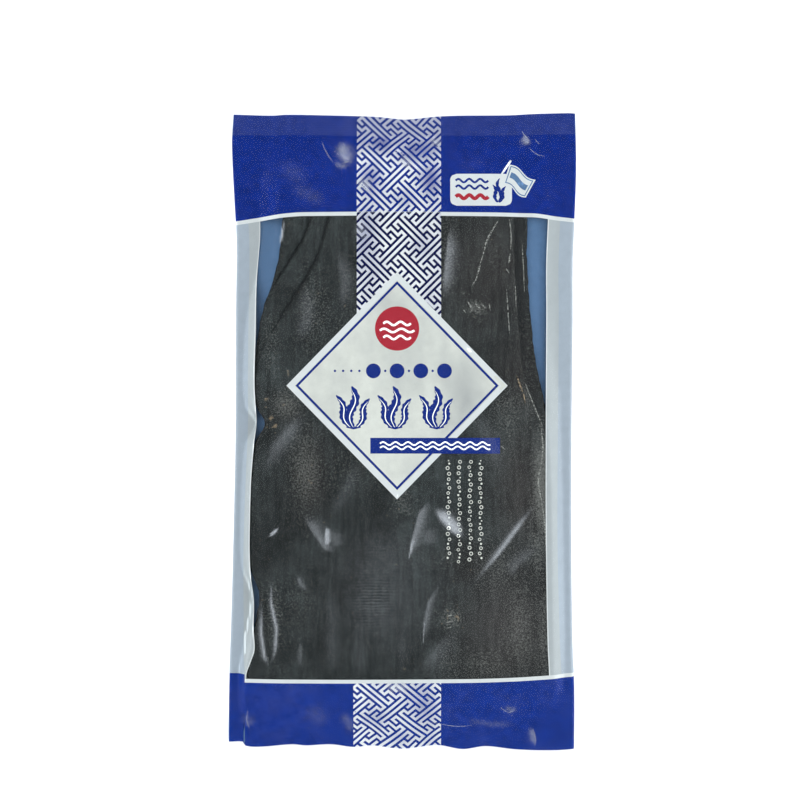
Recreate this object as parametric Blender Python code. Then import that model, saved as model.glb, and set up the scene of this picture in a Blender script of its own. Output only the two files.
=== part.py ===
"""A packet of dried kelp sheets, lying on its back with its printed front up.

The packet is one sealed bag with its contents: a flat base, a low film margin down each side, a flat
heat-sealed strip across the head and the foot, and over the sheets a raised plateau that shows their
folds, the step where the upper sheet ends, the ragged left edge and the long pleat at the lower left.
+X is the packet's right, +Y points to its head, and the origin is the middle of its base.
"""

import math

import bmesh
import bpy

MM = 0.001

# The bag. Outlines are (y, x) in millimetres, from the foot to the head.
PACK_LENGTH = 330 * MM
FOOT_Y = -PACK_LENGTH / 2
HEAD_Y = PACK_LENGTH / 2
LEFT_SIDE = ((-165, -90.0), (-110, -89.7), (-50, -87.6), (20, -86.3), (95, -85.9), (145, -88.8), (165, -88.4))
RIGHT_SIDE = ((-165, 89.4), (-110, 88.4), (-60, 87.3), (20, 88.2), (95, 89.0), (145, 90.0), (165, 89.4))
EDGE_HEIGHT = 1.0 * MM
SEAL_DEPTH = 11 * MM
SEAL_HEIGHT = 0.8 * MM

# How far each end of the film buckles back from a straight edge, as (x, distance) in millimetres.
FOOT_WAVE = (
    (-90, 4.4), (-82.2, 4.4), (-81.6, 2.0), (-77, 0.9), (-58, 3.3), (-40, 3.1), (-27, 0.8), (-14.5, 3.0),
    (-2, 0.6), (16.5, 3.0), (32, 0.6), (45, 2.8), (58, 0.5), (79, 0.0), (90, 0.5),
)
HEAD_WAVE = ((-90, 1.8), (-60, 1.1), (-32, 1.4), (2, 3.1), (30, 1.5), (55, 1.0), (76, 0.0), (90, 0.6))
WAVE_REACH = 22 * MM
WAVE_LIFT = 0.45

# The kelp inside, as the outline of its pile of sheets, with the torn notch half way up its left edge.
KELP_LEFT = (
    (-165, -80.8), (-126, -80.6), (-107, -77.2), (-84.5, -73.9), (-70, -78.4), (-46, -79.0), (-8, -76.4),
    (4.4, -70.8), (13, -75.5), (30, -76.4), (59, -72.8), (88, -64.2), (114, -61.4), (165, -60),
)
KELP_RIGHT = ((-165, 77.2), (-60, 76.4), (10, 73.8), (36, 68.6), (70, 65.0), (92, 64.0), (165, 65.2))
KELP_FOOT_Y = -137 * MM
KELP_HEAD_Y = 131 * MM
PILE_HEIGHT = 9.6 * MM

# How far the film takes to come down beside the pile, as (y, distance) in millimetres.
LEFT_FALL = ((-165, 3.5), (-60, 4.0), (40, 6.0), (110, 13.0), (165, 16.0))
RIGHT_FALL = ((-165, 7.0), (0, 8.0), (40, 13.0), (110, 18.0), (165, 18.0))
HEAD_FALL = 22 * MM
FOOT_FALL = 17 * MM
SHOULDER = 2.5 * MM

# Relief of the pile: the upper sheet's right edge, and the two creases that fan down from its top left.
UPPER_SHEET_RIGHT = ((-165, 90), (-20, 79.0), (3, 72.3), (25, 63.4), (63, 59.3), (114, 57.2), (165, 57))
SHEET_STEP = 1.5 * MM
STEP_RUN = 2.5 * MM
OUTER_CREASE = ((63, -72.0), (73, -67.6), (86, -59.8), (97, -52.6), (109, -47.8), (135, -42.0))
INNER_CREASE = ((52, -66.0), (63, -59.8), (75, -52.5), (90, -44.2), (109, -38.5), (135, -33.0))
CREASE_DEPTH = 1.5 * MM
CREASE_WIDTH = 3.2 * MM
CREASE_FADE = 14 * MM
RIGHT_TAPER = 2.6 * MM
RIGHT_TAPER_RUN = 16 * MM
SWELL = 0.45 * MM
SWELL_LENGTH = 118 * MM
SWELL_WIDTH = 86 * MM

# The pleat at the lower left: the front panel's edge stands over a strip of film beside it.
PLEAT_INSET = 8.3 * MM
PLEAT_LIP = 0.6 * MM
PLEAT_STEP = 1.5 * MM
PLEAT_TOP_Y = -96 * MM
PLEAT_FADE = 30 * MM

# Grid lines, as distances in millimetres in from the left side, the right side, the foot and the head.
LEFT_LINES = (0, 2.5, 5.5, 8.3, 8.9, 10.8, 12.6, 14.6, 17, 20, 23, 26, 29, 32, 35, 38.5, 42, 46, 50, 55)
RIGHT_LINES = (30, 26.5, 23.5, 20.5, 17.5, 14.5, 12, 9.5, 7, 4.5, 2, 0)
MIDDLE_COLUMNS = 15
FOOT_LINES = (0, 3.5, 7.5, 11, 14.5, 18, 21.5, 25.5, 30)
HEAD_LINES = (38, 33, 28, 24, 20, 16.5, 13.5, 11, 7.5, 3.5, 0)
MIDDLE_ROWS = 46

FILM_BLUE = (0.012, 0.028, 0.24, 1.0)
FILM_SIDE = (0.42, 0.52, 0.62, 1.0)
KELP_DARK = (0.045, 0.050, 0.048, 1.0)
BAND_HEAD_Y = 114 * MM
BAND_FOOT_Y = -131 * MM


def ease(t):
    """Smooth step from 0 to 1."""
    t = min(max(t, 0.0), 1.0)
    return t * t * (3 - 2 * t)


def along(knots, place):
    """Smooth curve through knots given in millimetres, read at a place in metres, in metres."""
    place = min(max(place / MM, knots[0][0]), knots[-1][0])
    last = len(knots) - 2
    i = next(k for k in range(last + 1) if place <= knots[k + 1][0] or k == last)
    (x0, y0), (x1, y1) = knots[i], knots[i + 1]
    before = knots[max(i - 1, 0)]
    after = knots[min(i + 2, last + 1)]
    slope0 = (y1 - before[1]) / (x1 - before[0])
    slope1 = (after[1] - y0) / (after[0] - x0)
    run = x1 - x0
    t = (place - x0) / run
    value = (2 * t**3 - 3 * t**2 + 1) * y0 + (t**3 - 2 * t**2 + t) * run * slope0
    value += (3 * t**2 - 2 * t**3) * y1 + (t**3 - t**2) * run * slope1
    return value * MM


def crease(knots, x, y):
    """Depth of one crease of the pile at a point: a groove that fades out at its lower end."""
    start = knots[0][0] * MM
    fade = ease((y - start) / CREASE_FADE)
    away = (x - along(knots, y)) / CREASE_WIDTH
    return CREASE_DEPTH * fade * math.exp(-away * away)


def pile_height(x, y):
    """Height of the top of the pile of sheets, with its folds, its upper sheet's edge and its broad swells."""
    height = PILE_HEIGHT
    height -= SHEET_STEP * ease((x - along(UPPER_SHEET_RIGHT, y)) / STEP_RUN)
    height -= RIGHT_TAPER * (1 - ease((along(KELP_RIGHT, y) - x) / RIGHT_TAPER_RUN))
    height -= crease(OUTER_CREASE, x, y) + crease(INNER_CREASE, x, y)
    height += SWELL * math.sin(2 * math.pi * y / SWELL_LENGTH)
    height += SWELL * math.sin(2 * math.pi * (x / SWELL_WIDTH + y / PACK_LENGTH))
    return height


def end_wave(x, y):
    """How far the film's buckled ends move a point back along Y, and how far they lift it."""
    foot = along(FOOT_WAVE, x) * ease(1 - (y - FOOT_Y) / WAVE_REACH)
    head = along(HEAD_WAVE, x) * ease(1 - (HEAD_Y - y) / WAVE_REACH)
    return foot - head, (foot + head) * WAVE_LIFT


def film_height(x, y):
    """Height of the bag's upper face over a point of its base."""
    left, right = along(KELP_LEFT, y), along(KELP_RIGHT, y)
    rise = ease((x - left + along(LEFT_FALL, y)) / (along(LEFT_FALL, y) + SHOULDER))
    rise *= ease((right + along(RIGHT_FALL, y) - x) / (along(RIGHT_FALL, y) + SHOULDER))
    rise *= ease((KELP_HEAD_Y + HEAD_FALL - y) / (HEAD_FALL + 4 * SHOULDER))
    rise *= ease((y - KELP_FOOT_Y + FOOT_FALL) / (FOOT_FALL + 4 * SHOULDER))
    sealed = ease(1 - (min(y - FOOT_Y, HEAD_Y - y) - SEAL_DEPTH) / SHOULDER)
    rim = EDGE_HEIGHT + (SEAL_HEIGHT - EDGE_HEIGHT) * sealed
    pleat = PLEAT_STEP * ease((x - along(LEFT_SIDE, y) - PLEAT_INSET) / PLEAT_LIP)
    pleat *= ease((PLEAT_TOP_Y - y) / PLEAT_FADE) * (1 - rise)
    return rim + pleat + (pile_height(x, y) - rim) * rise + end_wave(x, y)[1]


def spaced(start, stop, count):
    """The places strictly between start and stop that divide the run into count equal parts."""
    return [start + (stop - start) * k / count for k in range(1, count)]


def column_places(y):
    """X of each grid line across the packet at one height up it."""
    left, right = along(LEFT_SIDE, y), along(RIGHT_SIDE, y)
    near = [left + line * MM for line in LEFT_LINES]
    far = [right - line * MM for line in RIGHT_LINES]
    return near + spaced(near[-1], far[0], MIDDLE_COLUMNS) + far


def row_places():
    """Y of each grid line up the packet, before its ends are buckled."""
    foot = [FOOT_Y + line * MM for line in FOOT_LINES]
    head = [HEAD_Y - line * MM for line in HEAD_LINES]
    return foot + spaced(foot[-1], head[0], MIDDLE_ROWS) + head


def slot_of(x, y):
    """Which finish a face of the upper side has: 0 the printed bands, 1 the kelp, 2 the side margins."""
    if y > BAND_HEAD_Y or y < BAND_FOOT_Y:
        return 0
    return 1 if along(KELP_LEFT, y) < x < along(KELP_RIGHT, y) else 2


def packet_mesh():
    """Closed mesh of the bag: the upper grid, the walls round its rim, and a flat base in wide strips."""
    build = bmesh.new()
    rows = row_places()
    top = []
    for y in rows:
        line = []
        for x in column_places(y):
            line.append(build.verts.new((x, y + end_wave(x, y)[0], film_height(x, y))))
        top.append(line)
    for lower, upper in zip(top, top[1:]):
        for a, b, c, d in zip(lower, lower[1:], upper[1:], upper):
            face = build.faces.new((a, b, c, d))
            middle = face.calc_center_median()
            face.material_index = slot_of(middle.x, middle.y)
    rim = top[0] + [line[-1] for line in top[1:]]
    rim += top[-1][-2::-1] + [line[0] for line in top[-2:0:-1]]
    base = {vert: build.verts.new((vert.co.x, vert.co.y, 0.0)) for vert in rim}
    for a, b in zip(rim, rim[1:] + rim[:1]):
        build.faces.new((b, a, base[a], base[b]))
    for lower, upper in zip(top[1:-1], top[2:-1]):
        build.faces.new((base[lower[0]], base[upper[0]], base[upper[-1]], base[lower[-1]]))
    for end, inner in ((top[0], top[1]), (top[-1][::-1], top[-2][::-1])):
        corners = [base[vert] for vert in end]
        for a, b in zip(corners, corners[1:]):
            build.faces.new((base[inner[0]], b, a))
        build.faces.new((base[inner[0]], base[inner[-1]], corners[-1]))
    bmesh.ops.triangulate(build, faces=build.faces[:])
    mesh = bpy.data.meshes.new("packet")
    build.to_mesh(mesh)
    build.free()
    return mesh


def material(name, colour, roughness, metallic=0.0):
    finish = bpy.data.materials.new(name)
    finish.use_nodes = True
    shader = finish.node_tree.nodes["Principled BSDF"]
    shader.inputs["Base Color"].default_value = colour
    shader.inputs["Roughness"].default_value = roughness
    shader.inputs["Metallic"].default_value = metallic
    finish.diffuse_color = colour
    return finish


def main():
    for old in list(bpy.data.objects):
        bpy.data.objects.remove(old, do_unlink=True)
    mesh = packet_mesh()
    mesh.materials.append(material("printed_film", FILM_BLUE, 0.35))
    mesh.materials.append(material("kelp_under_film", KELP_DARK, 0.45))
    mesh.materials.append(material("side_film", FILM_SIDE, 0.35))
    mesh.shade_smooth()
    mesh.set_sharp_from_angle(angle=math.radians(40))
    packet = bpy.data.objects.new("packet", mesh)
    bpy.context.scene.collection.objects.link(packet)


main()
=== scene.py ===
"""A clear film packet of dried kelp sheets, lying face up: the printed film and the pile of kelp inside it."""

import math

import bmesh
import bpy
import numpy as np
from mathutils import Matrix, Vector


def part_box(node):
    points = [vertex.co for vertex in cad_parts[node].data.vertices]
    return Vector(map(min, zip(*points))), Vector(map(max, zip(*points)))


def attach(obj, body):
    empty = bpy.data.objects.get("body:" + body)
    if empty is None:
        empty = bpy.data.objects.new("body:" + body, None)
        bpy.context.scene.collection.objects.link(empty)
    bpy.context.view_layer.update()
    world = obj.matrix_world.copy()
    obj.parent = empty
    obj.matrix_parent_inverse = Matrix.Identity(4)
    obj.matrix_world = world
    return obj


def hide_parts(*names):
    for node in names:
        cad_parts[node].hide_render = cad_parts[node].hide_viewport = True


bl_info = {
    "name": "Dried Kelp Packet",
    "version": (1, 0, 0),
    "blender": (4, 5, 0),
    "location": "3D View > Sidebar > Kelp Packet",
    "description": "Builds a printed film packet of dried kelp sheets round its packed model",
    "category": "Add Mesh",
}

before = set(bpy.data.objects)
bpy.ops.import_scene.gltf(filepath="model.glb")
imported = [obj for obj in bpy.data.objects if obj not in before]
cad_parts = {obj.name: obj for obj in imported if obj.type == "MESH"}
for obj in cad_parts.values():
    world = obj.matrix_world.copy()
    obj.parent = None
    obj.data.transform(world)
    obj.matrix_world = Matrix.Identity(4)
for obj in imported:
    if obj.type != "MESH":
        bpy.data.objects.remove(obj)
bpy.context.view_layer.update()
LOW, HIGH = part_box("packet")

MM = 0.001

# The bag. Outlines are (y, x) in millimetres, from the foot to the head.
FOOT_Y = LOW[1]
HEAD_Y = HIGH[1]
PACK_LENGTH = HEAD_Y - FOOT_Y
LEFT_SIDE = (
    (-165, -90.0), (-148, -90.0), (-123, -89.6), (-98, -88.7), (-49, -87.4), (0, -86.4), (63, -86.2), (100, -85.8),
    (125, -87.2), (149, -88.4), (165, -87.6),
)
RIGHT_SIDE = (
    (-165, 88.9), (-135, 89.0), (-110, 88.0), (-60, 87.4), (0, 87.5), (62, 88.1), (87, 88.1), (112, 89.1),
    (137, 90.0), (165, 89.5),
)
RIM_HEIGHT = 0.9 * MM
SEAL_DEPTH = 11 * MM
SEAL_HEIGHT = 0.5 * MM
FOOT_SEAL_FADE = 14 * MM
FOOT_WAVE = (
    (-90, 4.4), (-82.2, 4.4), (-81.6, 2.6), (-75, 1.8), (-57, 3.2), (-50, 2.6), (-37, 3.2), (-25, 1.7), (-16, 2.6),
    (0, 0.8), (18, 2.8), (31, 0.6), (43, 2.2), (57, 0.6), (68, 0.0), (80, 0.0), (90, 0.7),
)
HEAD_WAVE = (
    (-90, 0.7), (-68, 1.4), (-60, 0.9), (-37, 1.3), (-13, 2.1), (0, 3.5), (6, 3.2), (18, 1.9), (30, 1.4), (55, 1.2),
    (68, 0.5), (86, 0.0), (90, 0.2),
)
WAVE_REACH = 22 * MM
WAVE_LIFT = 0.42

# The kelp inside, as the outline of its pile of sheets, with the torn notch half way up its left edge.
KELP_LEFT = (
    (-165, -80.8), (-126, -80.6), (-107, -77.2), (-84.5, -73.9), (-70, -78.4), (-46, -79.0), (-8, -76.4),
    (4.4, -70.8), (13, -75.5), (30, -76.4), (59, -72.8), (88, -64.2), (114, -61.4), (165, -60),
)
KELP_RIGHT = ((-165, 77.2), (-60, 76.4), (10, 73.8), (36, 68.6), (70, 65.0), (92, 64.0), (165, 65.2))
KELP_FOOT_Y = -137 * MM
KELP_HEAD_Y = 131 * MM
PILE_HEIGHT = 9.3 * MM
LEFT_FALL = ((-165, 3.5), (-60, 4.0), (40, 6.0), (110, 13.0), (165, 16.0))
RIGHT_FALL = ((-165, 7.0), (0, 8.0), (40, 13.0), (110, 18.0), (165, 18.0))
HEAD_FALL = 22 * MM
FOOT_FALL = 17 * MM
SHOULDER = 2.5 * MM
SIDE_STAND = 1.2 * MM

# Relief of the pile: where its upper sheet ends on the right, and the two creases at its upper left.
UPPER_SHEET_RIGHT = ((-165, 90), (-20, 79.0), (3, 72.3), (25, 63.4), (63, 59.3), (114, 57.2), (165, 57))
SHEET_STEP = 1.4 * MM
STEP_RUN = 11 * MM
OUTER_CREASE = ((63, -72.0), (73, -67.6), (86, -59.8), (97, -52.6), (109, -47.8), (135, -42.0))
INNER_CREASE = ((52, -66.0), (63, -59.8), (75, -52.5), (90, -44.2), (109, -38.5), (135, -33.0))
CREASE_WIDTH = 2.2 * MM
CREASE_FADE = 14 * MM
CREASE_TOP = 122 * MM
KELP_CREASE = 1.1 * MM
FILM_CREASE = 0.22 * MM
RIGHT_TAPER = 2.4 * MM
RIGHT_TAPER_RUN = 22 * MM
SWELL = 0.45 * MM
SWELL_LENGTH = 118 * MM
SWELL_WIDTH = 86 * MM

# The pleat at the lower left: the front panel's edge stands over a strip of film beside it.
PLEAT_INSET = 8.3 * MM
PLEAT_LIP = 0.35 * MM
PLEAT_STEP = 1.3 * MM
PLEAT_TOP_Y = -96 * MM
PLEAT_FADE = 30 * MM

# Edges of the printed fields, as (x, y) or (y, x) in millimetres.
HEAD_BAND_EDGE = ((-90, 108.4), (-84, 109.2), (-70, 111.3), (-50, 113.1), (67, 112.7), (80, 111.3), (90, 110.2))
FOOT_BAND_EDGE = ((-90, -129.0), (-82, -129.4), (-60, -129.8), (30, -129.6), (70, -128.2), (90, -126.8))
PLEAT_BAND_EDGE = -125.2 * MM
KEYLINE = 2.0 * MM
LEFT_STRIP = ((-165, 8.3), (-126, 8.3), (-119, 7.4), (-110, 6.8), (-60, 5.4), (20, 6.4), (114, 6.4))
LEFT_MILK = (
    (-165, 9.0), (-126, 9.2), (-119, 11.2), (-112.6, 13.0), (-101, 12.0), (-88, 11.6), (-78, 10.2), (-69, 9.4),
    (-56, 8.8), (-25, 8.8), (-7, 9.8), (8.6, 10.8), (27, 10.1), (55, 10.6), (82, 10.5), (106, 12.3), (114, 12.6),
)
RIGHT_STRIP = ((-165, 6.6), (-110, 6.6), (-60, 7.2), (20, 7.0), (114, 7.4))
RIGHT_MILK = ((-165, 13.0), (-126, 13.1), (-60, 13.4), (20, 13.6), (114, 13.8))
WINDOW_LINE = 0.55 * MM

# The woven fret: its band's sides, and the lines' step across the diagonals.
FRET_LEFT = -23.6 * MM
FRET_RIGHT = 19.9 * MM
FRET_FOOT_LEFT = -25.4 * MM
FRET_PITCH = 2.633 * MM
FRET_PERIOD = 5
FRET_LINE = 0.53
FRET_REACH = 8
FRET_HEAD_NODE = (-4.2 * MM, 121.7 * MM)
FRET_FOOT_NODE = (-5.3 * MM, -135.6 * MM)
FRET_FOOT_SQUASH = 0.92

# The diamond panel and what stands on it.
DIAMOND = (-2.8 * MM, 23.7 * MM)
DIAMOND_HALF = (57.0 * MM, 58.6 * MM)

GAP = 0.11 * MM
FILM_STEP = 1.0 * MM


def ease(t):
    """Smooth step from 0 to 1."""
    t = np.clip(t, 0.0, 1.0)
    return t * t * (3 - 2 * t)


def along(knots, place):
    """Smooth curve through knots given in millimetres, read at places in metres, in metres."""
    xs, ys = np.array(knots, float).T
    place = np.clip(np.asarray(place, float) / MM, xs[0], xs[-1])
    i = np.clip(np.searchsorted(xs, place, side="right") - 1, 0, len(xs) - 2)
    before, after = np.maximum(i - 1, 0), np.minimum(i + 2, len(xs) - 1)
    run = xs[i + 1] - xs[i]
    slope0 = (ys[i + 1] - ys[before]) / (xs[i + 1] - xs[before]) * run
    slope1 = (ys[after] - ys[i]) / (xs[after] - xs[i]) * run
    t = (place - xs[i]) / run
    value = (2 * t**3 - 3 * t**2 + 1) * ys[i] + (t**3 - 2 * t**2 + t) * slope0
    return (value + (3 * t**2 - 2 * t**3) * ys[i + 1] + (t**3 - t**2) * slope1) * MM


def patches(x, y, size, seed):
    """Smooth random relief from -1 to 1, with humps of about the given size."""
    rng = np.random.default_rng(seed)
    table = rng.uniform(-1, 1, (64, 64))
    u, v = np.asarray(x) / size + 32.37, np.asarray(y) / size + 32.73
    i, j = np.floor(u).astype(int), np.floor(v).astype(int)
    s, t = ease(u - i), ease(v - j)
    i, j = i % 63, j % 63
    low = table[i, j] * (1 - s) + table[i + 1, j] * s
    high = table[i, j + 1] * (1 - s) + table[i + 1, j + 1] * s
    return low * (1 - t) + high * t


def creases(x, y):
    """Share of their full depth that the pile's two creases have at a place: grooves that fade at both ends."""
    total = np.zeros(np.broadcast(x, y).shape)
    for knots in (OUTER_CREASE, INNER_CREASE):
        fade = ease((y - knots[0][0] * MM) / CREASE_FADE) * ease((CREASE_TOP - y) / CREASE_FADE)
        away = (x - along(knots, y)) / CREASE_WIDTH
        total = np.maximum(total, fade * np.exp(-away * away))
    return total


def pile_height(x, y):
    """Height of the film over the pile of sheets, with its creases, its upper sheet's edge and its broad swells."""
    height = PILE_HEIGHT - SHEET_STEP * ease((x - along(UPPER_SHEET_RIGHT, y)) / STEP_RUN + 0.4)
    height = height - RIGHT_TAPER * (1 - ease((along(KELP_RIGHT, y) - x) / RIGHT_TAPER_RUN))
    height = height - FILM_CREASE * creases(x, y)
    height = height + SWELL * np.sin(2 * math.pi * y / SWELL_LENGTH)
    return height + SWELL * np.sin(2 * math.pi * (x / SWELL_WIDTH + y / PACK_LENGTH))


def end_wave(x, y):
    """How far the film's buckled ends move a point back along Y, and how far they lift it."""
    foot = along(FOOT_WAVE, x) * ease(1 - (y - FOOT_Y) / WAVE_REACH)
    head = along(HEAD_WAVE, x) * ease(1 - (HEAD_Y - y) / WAVE_REACH)
    return foot - head, (foot + head) * WAVE_LIFT


def pile_rise(x, y):
    """How far the film has come up over the pile at a point, from 0 in the margins to 1 on the plateau."""
    left, right = along(KELP_LEFT, y), along(KELP_RIGHT, y)
    left_fall, right_fall = along(LEFT_FALL, y), along(RIGHT_FALL, y)
    rise = ease((x - left + left_fall + SIDE_STAND) / (left_fall + SIDE_STAND))
    rise = rise * ease((right + right_fall - x + SIDE_STAND) / (right_fall + SIDE_STAND))
    rise = rise * ease((KELP_HEAD_Y + HEAD_FALL - y) / (HEAD_FALL + 4 * SHOULDER))
    return rise * ease((y - KELP_FOOT_Y + FOOT_FALL) / (FOOT_FALL + 6 * SHOULDER))


def film_base(x, y):
    """Height of the front film before its small wrinkles."""
    rise = pile_rise(x, y)
    sealed = ease(1 - np.minimum((y - FOOT_Y - SEAL_DEPTH) / FOOT_SEAL_FADE, (HEAD_Y - y - SEAL_DEPTH) / SHOULDER))
    rim = RIM_HEIGHT + (SEAL_HEIGHT - RIM_HEIGHT) * sealed
    pleat = PLEAT_STEP * ease((x - along(LEFT_SIDE, y) - PLEAT_INSET) / PLEAT_LIP)
    pleat = pleat * ease((PLEAT_TOP_Y - y) / PLEAT_FADE) * (1 - rise)
    return rim + pleat + (pile_height(x, y) - rim) * rise + end_wave(x, y)[1]


# Wrinkles of the film over the pile: x and y of both ends, width and height, in millimetres.
WRINKLES = (
    (-50, 5, -70, -12, 3.2, 0.50), (-64, -49, -69, -54, 1.8, 0.35), (-39, -40, -36.5, -62, 3.4, 0.75),
    (-51, -43, -38, -62, 3.0, 0.45), (-29, -42, -36, -62, 3.2, 0.45), (15, -37, 4, -66, 2.6, 0.60),
    (15, -37, 31, -55, 4.2, 0.85), (64, -45, 38, -80, 3.0, 0.60), (22, -72, 11, -111, 2.2, 0.45),
    (-72, -84, -72, -122, 1.8, 0.45), (-65, -92, -69, -126, 1.8, 0.45), (60, -20, 74, -52, 3.0, 0.35),
    (62, -62, 73, -74, 3.2, 0.40), (52, -92, 60, -120, 4.5, 0.40), (-55, -66, -50, -90, 3.4, 0.30),
    (-20, -70, -22, -124, 4.4, 0.28), (0, -84, -2, -126, 4.2, 0.25), (-44, -80, -46, -124, 3.6, 0.25),
    (40, 60, 52, 96, 3.6, 0.30), (-30, 60, -24, 100, 4.0, 0.25),
)
# Wrinkles of the head and foot bands, on the same plan.
BAND_WRINKLES = (
    (-41, 150, -25, 137, 2.6, 0.50), (62, 155, 75, 142, 2.4, 0.45), (-7, 148, 4, 142, 2.6, 0.55),
    (-23, 130, -16, 124, 2.6, 0.60), (14, 152, 20, 147, 2.2, 0.45), (-24, 110, -17, 103, 2.4, 0.40),
    (-60, 140, -66, 122, 3.4, 0.40), (-80, 132, -70, 118, 3.0, 0.40), (40, 140, 30, 122, 3.0, 0.30),
    (50, -142, 59, -147, 2.2, 0.45), (14, -151, 38, -153, 2.0, 0.50), (-60, -134, -44, -146, 3.4, 0.40),
    (-28, -134, -18, -156, 3.6, 0.45), (-44, -150, -22, -142, 3.4, 0.35), (62, -134, 78, -152, 3.4, 0.35),
    (6, -135, 18, -140, 2.6, 0.35), (-74, -140, -62, -156, 3.0, 0.40), (40, -134, 30, -148, 3.0, 0.30),
)


def wrinkle(x, y, x0, y0, x1, y1, width, height):
    """Height of one wrinkle: a sharp crest that tapers to both of its ends."""
    run_x, run_y = x1 - x0, y1 - y0
    length = math.hypot(run_x, run_y)
    t = ((x / MM - x0) * run_x + (y / MM - y0) * run_y) / length**2
    bow = 0.06 * length * (1 - (2 * t - 1) ** 2)
    away = np.abs(((x / MM - x0) * run_y - (y / MM - y0) * run_x) / length - bow)
    ends = ease(2.4 * t + 0.2) * ease(2.4 * (1 - t) + 0.2)
    return height * MM * ends * np.clip(1 - away / width, 0, 1) ** 1.6


def wrinkles(x, y):
    """Height that all the wrinkles and the film's faint unevenness add."""
    total = np.zeros(np.broadcast(x, y).shape)
    for item in WRINKLES + BAND_WRINKLES:
        total = np.maximum(total, wrinkle(x, y, *item))
    bands = ease((np.abs(y - 0.5 * (HEAD_BAND_EDGE[3][1] + FOOT_BAND_EDGE[3][1]) * MM) - 118 * MM) / (8 * MM))
    rough = 0.10 * patches(x, y, 9 * MM, 11) + 0.06 * patches(x, y, 4.5 * MM, 12)
    facets = np.abs(patches(x, y, 13 * MM, 13)) * 0.34 + np.abs(patches(x, y, 7 * MM, 14)) * 0.12
    return total + MM * (rough * (1 - bands) * 0.8 + facets * bands)


# Painted sheen on the film: whitish streaks and patches that stand in for its reflections, and a broad painted haze
# over the kelp. For each, how far it reaches to the left and to the right of its line, its strength, and the line's
# (x, y) knots, in millimetres.
SHEEN = (
    (5.0, 3.0, 0.10, (-50, 10.7), (-58, 1), (-64.7, -7.4), (-72.5, -24)),
    (0.9, 0.9, 0.30, (-63.5, -49.2), (-66.3, -52), (-69, -54.3)),
    (5.0, 0.9, 0.14, (-51.8, -42.5), (-46.7, -50.1), (-40, -60.2), (-33.2, -62.7)),
    (2.6, 0.5, 0.32, (-39.6, -47.6), (-39.6, -54), (-39.2, -60.6)),
    (4.0, 4.0, 0.09, (-36, -50), (-33, -61)),
    (3.4, 2.4, 0.05, (-21.1, -12.7), (-29.9, -31.1), (-37.7, -45.1)),
    (4.5, 0.6, 0.16, (14.8, -34.1), (8.9, -41.7), (4.7, -56.8), (3.0, -66)),
    (1.3, 0.5, 0.26, (6.3, -52), (4.4, -59), (3.2, -66)),
    (5.0, 5.0, 0.09, (12.2, -48), (14.4, -60)),
    (3.4, 2.2, 0.36, (15.7, -38.8), (24, -47.2), (31.9, -55.4)),
    (1.2, 2.0, 0.22, (69, -36.8), (58.5, -50.6), (50.1, -61.8), (34.6, -80.6)),
    (2.0, 4.5, 0.08, (71.9, -57.7), (58.5, -68.6), (54.3, -75.3)),
    (3.0, 0.5, 0.13, (20.7, -75.3), (13.1, -87.9), (10.9, -99), (10.6, -109.7)),
    (2.5, 7.0, 0.06, (7.8, -125.1), (17, -113.5), (27.9, -100.6)),
    (0.8, 1.4, 0.24, (-72.7, -82.8), (-72.7, -103.8), (-71, -115.6), (-68.5, -121.9)),
    (1.0, 1.2, 0.22, (-67.3, -71.9), (-67.7, -87.9), (-64.8, -101.3), (-65.6, -113), (-68.5, -122.3)),
    (1.8, 1.0, 0.12, (-54.3, -72.7), (-52.6, -78.6), (-48.4, -82.8)),
    (5.0, 3.0, 0.045, (-36.6, -70), (-36.8, -104), (-36.4, -129)),
    (3.0, 4.0, 0.04, (-21.4, -90), (-21.8, -110), (-21.2, -129)),
    (5.0, 3.0, 0.04, (-0.5, -66), (-1, -104), (0, -129)),
    (0.9, 1.6, 0.09, (-52.2, -106.3), (-52.4, -115), (-52.6, -123.1)),
    (5.0, 0.8, 0.16, (24.5, 109), (23.4, 95), (21.6, 80), (21.0, 66)),
    (0.6, 0.6, 0.36, (-60.8, 110.5), (-62.4, 100), (-62.9, 96)),
    (4.0, 4.0, 0.07, (-54, 44), (-49, 60), (-50, 78)),
    (5.0, 2.0, 0.08, (-34, 96), (-30, 78), (-32, 60)),
    (4.5, 4.5, 0.06, (36, 12), (46, -6), (52, -24)),
    (22.0, 26.0, 0.045, (-14, -40), (-8, -78), (-4, -124)),
    (16.0, 16.0, 0.015, (44, -60), (50, -90), (52, -122)),
    (5.0, 3.0, 0.20, (-32, 152), (-31, 144), (-26, 136.5)),
    (1.6, 1.6, 0.14, (-36, 140.5), (-32, 137), (-27, 137.5)),
    (1.0, 3.0, 0.22, (62.4, 154.5), (64.4, 151.5), (66.5, 148.4)),
    (4.0, 4.0, 0.05, (-60, 128), (-48, 122), (-38, 117)),
    (5.0, 5.0, 0.04, (-64, 140), (-56, 133), (-48, 128)),
    (3.0, 3.0, 0.08, (-84, -147), (-80, -150), (-77, -154)),
    (5.0, 5.0, 0.05, (-52, -142), (-44, -147), (-40, -155)),
    (2.0, 3.0, 0.09, (-32, -144), (-27.5, -151), (-26, -158)),
    (2.0, 2.0, 0.07, (30, -149), (46, -152.5), (60, -151.5)),
    (1.4, 1.4, 0.12, (52, -141.5), (56, -144), (60, -143)),
    (1.0, 2.4, 0.16, (66, -152), (68, -158), (68.5, -163)),
    (3.2, 1.4, 0.20, (-3, 141), (1, 138.5), (5, 135.5)),
    (3.2, 1.6, 0.24, (-24, 129), (-20, 126.5), (-16, 124)),
    (2.4, 1.2, 0.20, (14, 152), (17, 150), (20, 147.5)),
    (3.0, 3.0, 0.15, (-24, 108), (-21, 103), (-18, 99)),
    (2.4, 2.4, 0.20, (-10, -131.6), (-3, -132.0), (4, -132.6)),
)
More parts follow.
